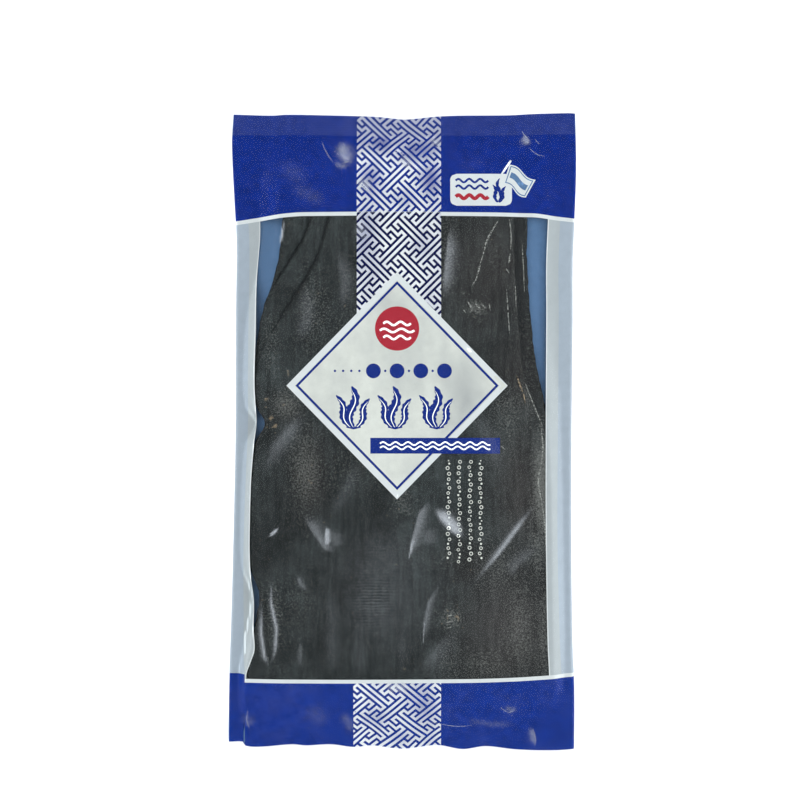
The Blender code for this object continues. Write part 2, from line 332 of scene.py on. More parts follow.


# Where the film is drawn tight into fine ribs across the packet, which also get painted sheen lines: x, y, half width,
# half height and strength.
RIB_SHEEN = ((-15, -88, 13, 20, 0.070), (-12, -60, 12, 8, 0.050), (20, -78, 6, 8, 0.035))


def sheen(x, y):
    """Strength of the film's painted sheen at a place, from 0 to 1."""
    total = np.zeros(np.broadcast(x, y).shape)
    px, py = np.asarray(x) / MM, np.asarray(y) / MM
    for left, right, strength, *knots in SHEEN:
        place, side = np.zeros(total.shape), np.zeros(total.shape)
        nearest = np.full(total.shape, 1e9)
        for k, ((x0, y0), (x1, y1)) in enumerate(zip(knots, knots[1:])):
            run = (x1 - x0) ** 2 + (y1 - y0) ** 2
            t = np.clip(((px - x0) * (x1 - x0) + (py - y0) * (y1 - y0)) / run, 0, 1)
            away = np.hypot(px - x0 - t * (x1 - x0), py - y0 - t * (y1 - y0))
            place = np.where(away < nearest, (k + t) / (len(knots) - 1), place)
            side = np.where(away < nearest, (x1 - x0) * (py - y0) - (y1 - y0) * (px - x0), side)
            nearest = np.minimum(nearest, away)
        ends = ease(2.6 * place + 0.08) * ease(2.6 * (1 - place) + 0.08)
        reach = np.where(side > 0, left, right) * (0.4 + 0.6 * ends)
        total = np.maximum(total, strength * ends * np.exp(-((nearest / reach) ** 2)))
    return total


def front(x, y):
    """Height of the front film at a place, over its flat outline."""
    sealed = ease(1 - (np.minimum(y - FOOT_Y, HEAD_Y - y) - SEAL_DEPTH) / (2 * SHOULDER))
    edge = np.minimum(x - along(LEFT_SIDE, y), along(RIGHT_SIDE, y) - x)
    fold = 1 - np.clip(edge / (1.2 * MM), 0, 1)
    low = 0.25 * MM + end_wave(x, y)[1]
    height = film_base(x, y) + wrinkles(x, y) * (1 - 0.75 * sealed) * ease(edge / (5 * MM))
    return low + (height - low) * np.sqrt(np.clip(1 - fold * fold, 0, 1))


def drape(x, y, lift=0.0):
    """Points of the front film's surface, or of one lifted off it, over places given flat."""
    x, y = np.broadcast_arrays(np.asarray(x, float), np.asarray(y, float))
    return np.stack([x, y + end_wave(x, y)[0], front(x, y) + lift], axis=-1)


def piece(name, mesh, finish):
    """Puts a finished mesh in the scene as one piece of the packet."""
    mesh.materials.clear()
    mesh.materials.append(finish)
    mesh.shade_smooth()
    made = bpy.data.objects.new(name, mesh)
    bpy.context.scene.collection.objects.link(made)
    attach(made, "root")
    return made


def points_of(mesh):
    """A mesh's points, as rows of x, y and z."""
    places = np.empty(len(mesh.vertices) * 3)
    mesh.vertices.foreach_get("co", places)
    return places.reshape(-1, 3)


def store_mask(mesh, name, values):
    """Keeps one value for each point of a mesh, for its material to read."""
    values = np.asarray(values, np.float32).reshape(-1)
    mesh.attributes.new(name, "FLOAT", "POINT").data.foreach_set("value", values)


def grid_mesh(name, points):
    """Open sheet of quads from an array of rows of points."""
    rows, columns = points.shape[:2]
    index = np.arange(rows * columns).reshape(rows, columns)
    quads = np.stack([index[:-1, :-1], index[:-1, 1:], index[1:, 1:], index[1:, :-1]], axis=-1).reshape(-1, 4)
    mesh = bpy.data.meshes.new(name)
    mesh.from_pydata(points.reshape(-1, 3).tolist(), [], quads.tolist())
    return mesh


# ---- Flat shapes: each is an array of rows of (x, y) places, which ink() lays on the film ----


def span(start, stop, step):
    """Places from start to stop, evenly spaced by about step."""
    return np.linspace(start, stop, max(2, int(math.ceil(abs(stop - start) / step)) + 1))


def block(left, right, foot, head, step=1.2 * MM):
    """Field between two sides and two ends, each a length or a function of the place along it."""
    def at(edge, place):
        return edge(place) if callable(edge) else np.full(np.shape(place), float(edge))

    probe = np.array([0.5 * (float(at(foot, 0.0)) + float(at(head, 0.0)))])
    across = float((at(right, probe) - at(left, probe))[0])
    u = np.linspace(0, 1, max(2, int(math.ceil(across / step)) + 1))[None, :]
    tall = float(at(head, 0.0)) - float(at(foot, 0.0))
    v = np.linspace(0, 1, max(2, int(math.ceil(tall / step)) + 1))[:, None]
    rough_y = float(at(foot, 0.0)) + v * tall
    x = at(left, rough_y) + u * (at(right, rough_y) - at(left, rough_y))
    y = at(foot, x) + v * (at(head, x) - at(foot, x))
    return np.stack([x, y], axis=-1)


def rhombus(centre, half, steps, inner=0.0):
    """Diamond on its corner, whole, or from the inner share of its size outwards as four sides."""
    corners = [(half[0], 0), (0, half[1]), (-half[0], 0), (0, -half[1])]
    if inner == 0.0:
        s, t = np.meshgrid(np.linspace(0, 1, steps), np.linspace(0, 1, steps))
        x = centre[0] + corners[3][0] + s * half[0] - t * half[0]
        y = centre[1] + corners[3][1] + s * half[1] + t * half[1]
        return [np.stack([x, y], axis=-1)]
    sides = []
    for (x0, y0), (x1, y1) in zip(corners, corners[1:] + corners[:1]):
        t = np.linspace(0, 1, steps)[None, :]
        share = np.array([inner, 1.0])[:, None]
        x = centre[0] + share * (x0 + t * (x1 - x0))
        y = centre[1] + share * (y0 + t * (y1 - y0))
        sides.append(np.stack([x, y], axis=-1)[::-1])
    return sides


def disc(x, y, radius, steps=32, hollow=0.0):
    """Round spot, as rings from its rim inwards, to its middle or to a hollow share of its radius."""
    angle = np.linspace(0, 2 * math.pi, steps + 1)[None, :]
    rings = max(2, int(math.ceil(radius * (1 - hollow) / (1.2 * MM))) + 1)
    reach = np.linspace(radius, hollow * radius, rings)[:, None]
    return np.stack([x + reach * np.cos(angle), y + reach * np.sin(angle)], axis=-1)


def ribbon(path, width):
    """Strip along a path of (x, y) places, as wide as width gives at each of them."""
    path = np.asarray(path, float)
    run = np.gradient(path, axis=0)
    side = np.stack([-run[:, 1], run[:, 0]], axis=-1)
    side /= np.linalg.norm(side, axis=1, keepdims=True)
    half = (0.5 * np.broadcast_to(width, len(path)))[:, None]
    return np.stack([path + side * half, path, path - side * half], axis=1)


def wave_line(x0, x1, y, height, length, width):
    """Ribbon along a sine wave."""
    x = span(x0, x1, 0.4 * MM)
    return ribbon(np.stack([x, y + height * np.sin(2 * math.pi * (x - x0) / length)], axis=-1), width)


def blade(foot, height, lean, width, ruffle=7):
    """Kelp blade: a swaying ribbon with ruffled sides, narrow at its foot and pointed at its tip."""
    t = np.linspace(0, 1, 34)
    x = foot[0] + lean * t + 0.09 * height * np.sin(2 * math.pi * t) * (1 if lean >= 0 else -1)
    y = foot[1] + height * t
    wide = width * np.sin(math.pi * np.clip(t * 0.94 + 0.05, 0, 1)) ** 0.55
    wide = wide * (1 + 0.16 * np.sin(2 * math.pi * ruffle * t))
    return ribbon(np.stack([x, y], axis=-1), wide)


def ink_mesh(name, shapes, lift):
    """One mesh of flat shapes laid on the film, each turned face up and with doubled points merged."""
    build = bmesh.new()
    for shape in shapes:
        points = drape(shape[..., 0], shape[..., 1], lift)
        verts = [[build.verts.new(point) for point in line] for line in points.tolist()]
        for lower, upper in zip(verts, verts[1:]):
            for a, b, c, d in zip(lower, lower[1:], upper[1:], upper):
                build.faces.new((a, b, c, d))
    bmesh.ops.remove_doubles(build, verts=build.verts[:], dist=0.01 * MM)
    build.normal_update()
    bmesh.ops.reverse_faces(build, faces=[face for face in build.faces if face.normal.z < 0])
    mesh = bpy.data.meshes.new(name)
    build.to_mesh(mesh)
    build.free()
    return mesh


# ---- The woven fret ----


def fret_steps():
    """Places and unit links of the fret's lines, on a square lattice of line steps turned by 45 degrees."""
    dots, links = set(), set()

    def draw(points):
        for (u0, v0), (u1, v1) in zip(points, points[1:]):
            steps = max(abs(u1 - u0), abs(v1 - v0))
            du, dv = (u1 - u0) // steps, (v1 - v0) // steps
            line = [(u0 + du * k, v0 + dv * k) for k in range(steps + 1)]
            dots.update(line)
            links.update(tuple(sorted(pair)) for pair in zip(line, line[1:]))

    key = ((-1, 2), (-1, 1), (0, 1))
    reach = range(-FRET_REACH, FRET_REACH + 1)
    for i in reach:
        for j in reach:
            u, v = FRET_PERIOD * i, FRET_PERIOD * j
            turned = (i + j) % 2
            for offset in (2, 3):
                bar = ((-1, offset), (FRET_PERIOD + 1, offset))
                draw([(u + b, v + a) if turned else (u + a, v + b) for a, b in bar])
            for quarter in range(4):
                corner = key
                for _ in range(quarter):
                    corner = [(-b, a) for a, b in corner]
                if turned:
                    corner = [(-a, b) for a, b in corner]
                draw([(u + a, v + b) for a, b in corner])
            draw([(u - 1, v), (u + 1, v)] if turned else [(u, v - 1), (u, v + 1)])
    return dots, links


def clipped(polygon, low_x, high_x, low_y, high_y):
    """The part of a convex polygon inside an upright box."""
    for axis, limit, sign in ((0, low_x, 1), (0, high_x, -1), (1, low_y, 1), (1, high_y, -1)):
        kept = []
        for here, after in zip(polygon, polygon[1:] + polygon[:1]):
            inside, next_inside = sign * (here[axis] - limit) >= 0, sign * (after[axis] - limit) >= 0
            if inside:
                kept.append(here)
            if inside != next_inside:
                t = (limit - here[axis]) / (after[axis] - here[axis])
                kept.append((here[0] + t * (after[0] - here[0]), here[1] + t * (after[1] - here[1])))
        polygon = kept
        if len(polygon) < 3:
            return []
    return polygon


def fret_mesh(name, fields, pitch, line_share, lift):
    """Mesh of the fret's lines: each field has a node's place, a squash and a box (low x, high x, low y, high y)."""
    dots, links = fret_steps()
    half = line_share / 2
    boxes = [(u - half, u + half, v - half, v + half) for u, v in sorted(dots)]
    for (u0, v0), (u1, v1) in sorted(links):
        across = (u0 + half, u1 - half) if u0 != u1 else (u0 - half, u0 + half)
        upward = (v0 + half, v1 - half) if v0 != v1 else (v0 - half, v0 + half)
        boxes.append(across + upward)
    root = math.sqrt(0.5) * pitch
    build = bmesh.new()
    for u0, u1, v0, v1 in boxes:
        corners = ((u0, v0), (u1, v0), (u1, v1), (u0, v1))
        for (node_x, node_y), squash, box in fields:
            wide, tall = root * (2 - squash), root * squash
            flat = [(node_x + (u - v) * wide, node_y + (u + v) * tall) for u, v in corners]
            shape = clipped(flat, *box)
            if shape:
                points = drape(*np.array(shape).T, lift).tolist()
                build.faces.new([build.verts.new(point) for point in points])
    bmesh.ops.remove_doubles(build, verts=build.verts[:], dist=0.01 * MM)
    mesh = bpy.data.meshes.new(name)
    build.to_mesh(mesh)
    build.free()
    return mesh


# ---- The kelp ----

SHEETS = 6
SHEET_CLEAR = 0.42 * MM
PILE_FOOT = 0.3 * MM
TOP_LEFT = (
    (-165, -80.3), (-126, -80.1), (-107, -76.7), (-84.5, -73.2), (-70, -77.8), (-46, -78.4), (-8, -75.8),
    (4.4, -70.0), (13, -74.6), (30, -75.2), (43, -71.8), (53, -65.6), (63, -60.2), (75, -52.8), (90, -44.4),
    (109, -38.6), (135, -33.0),
)
SECOND_LEFT = (
    (-165, -80.5), (-126, -80.3), (-107, -76.9), (-84.5, -73.5), (-70, -78.1), (-46, -78.7), (-8, -76.1),
    (4.4, -70.4), (13, -75.0), (30, -75.8), (50, -73.4), (63, -71.2), (73, -67.4), (86, -59.8), (97, -52.8),
    (109, -48.0), (135, -42.0),
)


def sheets_over(x, y):
    """How many sheets lie one on another at a place, eased where an upper sheet's edge is passed."""
    count = SHEETS - (1 - ease((x - along(TOP_LEFT, y)) / (6 * MM) + 1))
    count = count - (1 - ease((x - along(SECOND_LEFT, y)) / (5 * MM) + 1))
    return count - ease((x - along(UPPER_SHEET_RIGHT, y)) / (6 * MM))


def sheet_level(order, x, y):
    """Height of the top of one sheet of the pile, counted from 0 at the bottom, and how thick it is there."""
    room = film_base(x, y) - SHEET_CLEAR - PILE_FOOT - (KELP_CREASE - FILM_CREASE) * creases(x, y)
    count = np.maximum(sheets_over(x, y), order + 1)
    return PILE_FOOT + room * (order + 1) / count, room / count


def kelp_sheet(name, order, left, right, foot, head, step, finish):
    """One sheet of kelp: a closed slab with thin rounded edges that is ragged along its sides."""
    def side_of(knots, seed):
        def edge(y):
            ragged = 0.55 * patches(y, 0, 5 * MM, seed) + 0.3 * patches(y, 0, 1.9 * MM, seed + 1)
            return along(knots, y) + ragged * MM
        return edge

    low, high = side_of(left, 40 + order), side_of(right, 60 + order)
    near = np.array([0, 0.10, 0.32, 0.75, 1.5]) * MM
    rows = np.concatenate([foot + near, span(foot + 3 * MM, head - 3 * MM, step), head - near[::-1]])
    y = rows[:, None]
    a, b = low(y), high(y)
    inner = np.linspace(0, 1, int((0.150 - 6 * MM) / step) + 2)[None, :]
    middle = (a + 3 * MM) + inner * (b - a - 6 * MM)
    x = np.concatenate([a + near[None, :], middle, b - near[::-1][None, :]], axis=1)
    y = np.broadcast_to(y, x.shape)
    top, thick = sheet_level(order, x, y)
    edge = np.minimum(np.minimum(x - a, b - x), np.minimum(y - foot, head - y))
    reach = 0.8 * MM
    round_off = np.sqrt(np.clip(1 - (1 - np.clip(edge / reach, 0, 1)) ** 2, 0, 1))
    curl = 0.08 * MM * np.exp(-(((edge - 2.2 * MM) / (1.6 * MM)) ** 2))
    relief = 0.09 * patches(x, y, 11 * MM, 70 + order) + 0.06 * patches(x, y * 0.35, 2.6 * MM, 80 + order)
    middle_z = top - 0.45 * thick
    upper = middle_z + (0.45 * thick + curl + relief * MM) * round_off
    lower = middle_z - 0.42 * thick * round_off
    count = x.size
    index = np.arange(count).reshape(x.shape)
    rim = np.ones(x.shape, bool)
    rim[1:-1, 1:-1] = False
    under = index + count
    under[rim] = index[rim]
    quads = []
    for sheet, order_of in ((index, (0, 1, 2, 3)), (under, (3, 2, 1, 0))):
        corners = (sheet[:-1, :-1], sheet[:-1, 1:], sheet[1:, 1:], sheet[1:, :-1])
        quads.append(np.stack([corners[k] for k in order_of], axis=-1).reshape(-1, 4))
    points = np.concatenate([np.stack([x, y, upper], -1).reshape(-1, 3), np.stack([x, y, lower], -1).reshape(-1, 3)])
    mesh = bpy.data.meshes.new(name)
    mesh.from_pydata(points.tolist(), [], np.concatenate(quads).tolist())
    loose = bmesh.new()
    loose.from_mesh(mesh)
    bmesh.ops.delete(loose, geom=[v for v in loose.verts if not v.link_faces], context="VERTS")
    loose.to_mesh(mesh)
    loose.free()
    places = points_of(mesh)
    from_left, to_right = places[:, 0] - low(places[:, 1]), high(places[:, 1]) - places[:, 0]
    near_edge = np.exp(-np.maximum(np.minimum(from_left, to_right), 0) / (2.2 * MM))
    masks = {
        "near_edge": near_edge, "bloom": spots(places, BLOOM), "tan": spots(places, TAN),
        "brown": spots(places, BROWN), "shade": groove_shade(places),
    }
    for mask, values in masks.items():
        store_mask(mesh, mask, values)
    return piece(name, mesh, finish)


# Salt bloom on the kelp: x, y, half width, half height and strength of each patch, in millimetres.
BLOOM = (
    (72, -28, 5, 30, 1.3), (70, -60, 6, 22, 0.7), (38, 64, 5, 4, 1.0), (44, 92, 10, 18, 0.20),
    (60, -100, 10, 26, 0.65), (25, -96, 7, 6, 0.7), (-4, 98, 9, 12, 0.3), (73, -105, 4, 30, 0.7),
    (-46, 62, 10, 26, 0.45), (-30, 46, 10, 16, 0.4), (26, -118, 10, 12, 0.35), (-50, -20, 9, 22, 0.75),
    (-60, 14, 8, 8, 0.8), (-24, -20, 22, 14, 0.3), (0, -36, 6, 8, 0.6), (54, 8, 10, 18, 0.5), (24, 90, 5, 24, 0.4),
    (64, 30, 4, 40, 0.5), (-66, -95, 6, 18, 0.5), (-52, -88, 10, 16, 0.35), (50, -70, 16, 18, 0.5),
    (-68, 45, 6, 16, 0.4), (20, -66, 14, 6, 0.3), (44, -120, 18, 10, 0.5), (0, 60, 60, 40, 0.15),
)
# Torn and tan places of the kelp's edges, on the same plan.
TAN = (
    (-70.5, 14, 1.8, 6, 0.60), (-66, 5, 3.4, 4.0, 0.70), (-68.5, 2, 2.2, 2.4, 0.95), (-63, 12, 4, 5, 0.40),
    (-50, -22, 7, 14, 0.22), (25, -96, 7, 6, 0.34), (-73, -90, 1.6, 10, 0.35), (-60, 24, 9, 12, 0.16),
)
# Browner places of the kelp, on the same plan.
BROWN = (
    (54, -100, 26, 34, 1.0), (62, -30, 16, 34, 0.9), (-48, -22, 9, 20, 0.8), (44, 82, 24, 34, 0.8),
    (60, 30, 16, 30, 0.7), (-60, 12, 9, 9, 0.6), (36, -70, 12, 14, 0.6),
)


def spots(places, table):
    """Strength at each place of a table of soft oval patches."""
    total = np.zeros(len(places))
    for x, y, wide, tall, strength in table:
        away = ((places[:, 0] / MM - x) / wide) ** 2 + ((places[:, 1] / MM - y) / tall) ** 2
        total = np.maximum(total, strength * np.exp(-away))
    return total


def groove_shade(places):
    """How much painted shade the kelp gets: along both creases, past the upper sheet's right edge and along its left
    edge.
    """
    x, y = places[:, 0], places[:, 1]
    dark = np.zeros(len(places))
    for knots, width in ((OUTER_CREASE, 0.8 * MM), (INNER_CREASE, 1.1 * MM)):
        fade = ease((y - knots[0][0] * MM) / CREASE_FADE)
        away = x - along(knots, y)
        dark = np.maximum(dark, fade * np.exp(-((away / width) ** 2)))
    past = (x - along(UPPER_SHEET_RIGHT, y)) / MM
    step = ease(past / 0.8 + 0.5) * np.exp(-np.maximum(past, 0) / 6.0) * ease((y + 10 * MM) / (40 * MM))
    rim = np.exp(-np.maximum(x - along(KELP_LEFT, y), 0) / (1.6 * MM))
    return np.maximum(np.maximum(dark, 0.9 * step), 0.8 * rim)


# ---- Shader groups and finishes ----


def add(tree, kind, inputs=None, **settings):
    """Adds a node with its settings, and with its inputs set to values or linked to sockets."""
    made = tree.nodes.new(kind)
    for key, value in settings.items():
        setattr(made, key, value)
    for key, value in (inputs or {}).items():
        if isinstance(value, bpy.types.NodeSocket):
            tree.links.new(value, made.inputs[key])
        else:
            made.inputs[key].default_value = value
    return made


def new_group(name, inputs, output):
    """Starts a shader group with named inputs (name, socket type, default) and one named output."""
    tree = bpy.data.node_groups.new(name, "ShaderNodeTree")
    for label, kind, default in inputs:
        socket = tree.interface.new_socket(name=label, in_out="INPUT", socket_type=kind)
        if default is not None:
            socket.default_value = default
    tree.interface.new_socket(name=output, in_out="OUTPUT", socket_type="NodeSocketFloat")
    return tree, tree.nodes.new("NodeGroupInput").outputs, tree.nodes.new("NodeGroupOutput").inputs


def patches_group():
    """Soft uneven patches, from 0 to 1."""
    if "soft_patches" in bpy.data.node_groups:
        return bpy.data.node_groups["soft_patches"]
    sockets = (
        ("Vector", "NodeSocketVector", None), ("Scale", "NodeSocketFloat", 80.0),
        ("Detail", "NodeSocketFloat", 3.0), ("Low", "NodeSocketFloat", 0.35), ("High", "NodeSocketFloat", 0.65),
    )
    tree, given, result = new_group("soft_patches", sockets, "Mask")
    noise = add(tree, "ShaderNodeTexNoise", {"Vector": given["Vector"], "Scale": given["Scale"],
                                             "Detail": given["Detail"], "Roughness": 0.62})
    spread = add(tree, "ShaderNodeMapRange", {"Value": noise.outputs["Fac"], "From Min": given["Low"],
                                              "From Max": given["High"]})
    tree.links.new(spread.outputs["Result"], result["Mask"])
    return tree


def streaks_group():
    """Streaks drawn out along the packet or across it, from 0 to 1."""
    if "streaks" in bpy.data.node_groups:
        return bpy.data.node_groups["streaks"]
    sockets = (
        ("Vector", "NodeSocketVector", None), ("Stretch", "NodeSocketVector", (1.0, 0.1, 1.0)),
        ("Scale", "NodeSocketFloat", 400.0), ("Low", "NodeSocketFloat", 0.35), ("High", "NodeSocketFloat", 0.65),
    )
    tree, given, result = new_group("streaks", sockets, "Mask")
    drawn = add(tree, "ShaderNodeVectorMath", {0: given["Vector"], 1: given["Stretch"]}, operation="MULTIPLY")
    noise = add(tree, "ShaderNodeTexNoise", {"Vector": drawn.outputs[0], "Scale": given["Scale"], "Detail": 2.0})
    spread = add(tree, "ShaderNodeMapRange", {"Value": noise.outputs["Fac"], "From Min": given["Low"],
                                              "From Max": given["High"]})
    tree.links.new(spread.outputs["Result"], result["Mask"])
    return tree


def relief_group():
    """Height of the film's fine crumple, for a Bump node."""
    if "film_relief" in bpy.data.node_groups:
        return bpy.data.node_groups["film_relief"]
    sockets = (("Vector", "NodeSocketVector", None), ("Scale", "NodeSocketFloat", 90.0))
    tree, given, result = new_group("film_relief", sockets, "Height")
    fine = add(tree, "ShaderNodeMath", {0: given["Scale"], 1: 4.0}, operation="MULTIPLY")
    broad = add(tree, "ShaderNodeTexNoise", {"Vector": given["Vector"], "Scale": given["Scale"], "Detail": 1.0})
    small = add(tree, "ShaderNodeTexNoise", {"Vector": given["Vector"], "Scale": fine.outputs[0], "Detail": 2.0})
    less = add(tree, "ShaderNodeMath", {0: small.outputs["Fac"], 1: 0.22}, operation="MULTIPLY")
    both = add(tree, "ShaderNodeMath", {0: broad.outputs["Fac"], 1: less.outputs[0]}, operation="ADD")
    tree.links.new(both.outputs[0], result["Height"])
    return tree


def use(tree, group, **inputs):
    """Places a shader group, with its inputs set or linked, and returns its first output."""
    made = add(tree, "ShaderNodeGroup", node_tree=group)
    for key, value in inputs.items():
        if isinstance(value, bpy.types.NodeSocket):
            tree.links.new(value, made.inputs[key])
        else:
            made.inputs[key].default_value = value
    return made.outputs[0]


def blend(tree, factor, first, second, mode="MIX"):
    """Mixes two colours, each a socket or a plain colour."""
    mix = add(tree, "ShaderNodeMix", {0: factor}, data_type="RGBA", blend_type=mode)
    for socket, value in ((mix.inputs[6], first), (mix.inputs[7], second)):
        if isinstance(value, bpy.types.NodeSocket):
            tree.links.new(value, socket)
        else:
            socket.default_value = (*value[:3], 1.0)
    return mix.outputs[2]


def finish_start(name):
    """New material with its shader and its object coordinates, whatever was there before."""
    made = bpy.data.materials.new(name)
    made.use_nodes = True
    tree = made.node_tree
    shader = tree.nodes["Principled BSDF"]
    return made, tree, shader, tree.nodes.new("ShaderNodeTexCoord").outputs["Object"]


def scaled(tree, value, factor, offset=0.0):
    """A value times a factor, plus an offset."""
    return add(tree, "ShaderNodeMath", {0: value, 1: factor, 2: offset}, operation="MULTIPLY_ADD").outputs[0]


def ink_finish(name, colour, roughness=0.45, uneven=0.10, pale=0.0, metallic=0.0):
    """Printing ink under film: a little uneven, and where pale is given, with random paler patches of painted sheen."""
    made, tree, shader, place = finish_start(name)
    mottle = use(tree, patches_group(), Vector=place, Scale=260.0, Detail=4.0, Low=0.3, High=0.7)
    sheen_patches = use(tree, patches_group(), Vector=place, Scale=62.0, Detail=3.0, Low=0.46, High=0.74)
    darker = [channel * (1 - uneven) for channel in colour]
    lighter = [channel * (1 + uneven) for channel in colour]
    base = blend(tree, mottle, darker, lighter)
    # Painted sheen: paler patches blended in where pale is given.
    if pale:
        base = blend(tree, scaled(tree, sheen_patches, pale), base, (0.30, 0.32, 0.62))
    tree.links.new(base, shader.inputs["Base Color"])
    tree.links.new(scaled(tree, mottle, 0.12, roughness - 0.06), shader.inputs["Roughness"])
    shader.inputs["Metallic"].default_value = metallic
    shader.inputs["Specular IOR Level"].default_value = 0.03
    relief = use(tree, relief_group(), Vector=place, Scale=95.0)
    bump = add(tree, "ShaderNodeBump", {"Height": relief, "Strength": 0.25, "Distance": 0.0006})
    tree.links.new(bump.outputs[0], shader.inputs["Normal"])
    return made


def seal_finish(name, colour):
    """Heat-sealed ink: paler and duller, with the fine ribs of the sealing jaws."""
    made = ink_finish(name, colour, roughness=0.5, uneven=0.14, pale=0.05)
    tree = made.node_tree
    shader = tree.nodes["Principled BSDF"]
    place = tree.nodes["Texture Coordinate"].outputs["Object"]
    ribs = add(tree, "ShaderNodeTexWave", {"Vector": place, "Scale": 260.0, "Distortion": 0.4}, bands_direction="Y")
    bump = add(tree, "ShaderNodeBump", {"Height": ribs.outputs["Fac"], "Strength": 0.12, "Distance": 0.0002})
    old = shader.inputs["Normal"].links[0].from_socket
    tree.links.new(old, bump.inputs["Normal"])
    tree.links.new(bump.outputs[0], shader.inputs["Normal"])
    return made


def silver_finish(name, colour, dull_and_shade, metallic, dull_from=None):
    """Silver print: bright, with painted shade in darker patches and streaks, duller near the head seal where dull_from
    is given.
    """
    made = ink_finish(name, colour, roughness=0.34, uneven=0.05, metallic=metallic)
    tree = made.node_tree
    shader = tree.nodes["Principled BSDF"]
    place = tree.nodes["Texture Coordinate"].outputs["Object"]
    base = shader.inputs["Base Color"].links[0].from_socket
    # Painted shade: streaks and the shade mask darken the silver where its reflection would be weaker.
    cloud = use(tree, streaks_group(), Vector=place, Stretch=(1.0, 0.55, 1.0), Scale=52.0, Low=0.42, High=0.68)
    amount = add(tree, "ShaderNodeMath", {0: scaled(tree, cloud, 0.34), 1: mask_of(tree, "painted_silver_shade")},
                 operation="ADD").outputs[0]
    if dull_from is not None:
        up = add(tree, "ShaderNodeSeparateXYZ", {0: place}).outputs["Y"]
        ramp = add(tree, "ShaderNodeMapRange", {"Value": up, "From Min": dull_from, "From Max": dull_from + 12 * MM})
        ends = scaled(tree, ramp.outputs[0], 0.6)
        amount = add(tree, "ShaderNodeMath", {0: ends, 1: amount}, operation="MAXIMUM").outputs[0]
    tree.links.new(blend(tree, amount, base, dull_and_shade), shader.inputs["Base Color"])
    return made


def clear_finish(name, tint, sheen_white):
    """Clear glossy film: nearly see-through face on, denser where it turns away, whitish and less clear where its
    painted sheen masks give it.
    """
    made, tree, shader, place = finish_start(name)
    relief = use(tree, relief_group(), Vector=place, Scale=85.0)
    ripple = add(tree, "ShaderNodeTexWave", {"Vector": place, "Scale": 205.0, "Distortion": 3.0, "Detail": 2.0,
                                             "Detail Scale": 1.4}, bands_direction="Y").outputs["Fac"]
    bump = add(tree, "ShaderNodeBump", {"Height": relief, "Strength": 0.4, "Distance": 0.0008})
    fine = add(tree, "ShaderNodeBump", {"Height": ripple, "Strength": 0.06, "Distance": 0.0003,
                                        "Normal": bump.outputs[0]})
    scuffs = use(tree, patches_group(), Vector=place, Scale=48.0, Detail=4.0, Low=0.45, High=0.75)
    grain = use(tree, patches_group(), Vector=place, Scale=900.0, Detail=3.0, Low=0.25, High=0.75)
    # Painted sheen: the sheen mask and the rib lines make the film whitish and less see-through, standing in for
    # reflections.
    painted_sheen = add(tree, "ShaderNodeAttribute", attribute_name="painted_sheen").outputs["Fac"]
    broken = add(tree, "ShaderNodeMath", {0: scaled(tree, grain, 0.4, 0.75), 1: painted_sheen}, operation="MULTIPLY")
    # Rib lines: partly real bump, partly painted sheen added to the film's whitish colour and alpha.
    ribs = add(tree, "ShaderNodeMath", {0: scaled(tree, ripple, 1.7, -0.77), 1: mask_of(tree, "drawn")},
               operation="MULTIPLY").outputs[0]
    painted_sheen_share = add(tree, "ShaderNodeMath", {0: broken.outputs[0], 1: ribs}, operation="ADD").outputs[0]
    fresnel = add(tree, "ShaderNodeFresnel", {"IOR": 1.45, "Normal": bump.outputs[0]}).outputs[0]
    clear = scaled(tree, fresnel, 0.6, 0.05)
    tree.links.new(add(tree, "ShaderNodeMath", {0: clear, 1: painted_sheen_share}, operation="ADD").outputs[0],
                   shader.inputs["Alpha"])
    share = scaled(tree, painted_sheen_share, 5.0)
    tree.links.new(blend(tree, share, tint, sheen_white), shader.inputs["Base Color"])
    tree.links.new(scaled(tree, scuffs, 0.12, 0.10), shader.inputs["Roughness"])
    tree.links.new(fine.outputs[0], shader.inputs["Normal"])
    shader.inputs["IOR"].default_value = 1.6
    return made


def mask_of(tree, name):
    return add(tree, "ShaderNodeAttribute", attribute_name=name).outputs["Fac"]


def crust(tree, noise, amount, reach, low, high):
    """Grains that show where noise and a mask together pass a threshold."""
    total = add(tree, "ShaderNodeMath", {0: amount, 1: reach, 2: noise}, operation="MULTIPLY_ADD").outputs[0]
    return add(tree, "ShaderNodeMapRange", {"Value": total, "From Min": low, "From Max": high}).outputs[0]


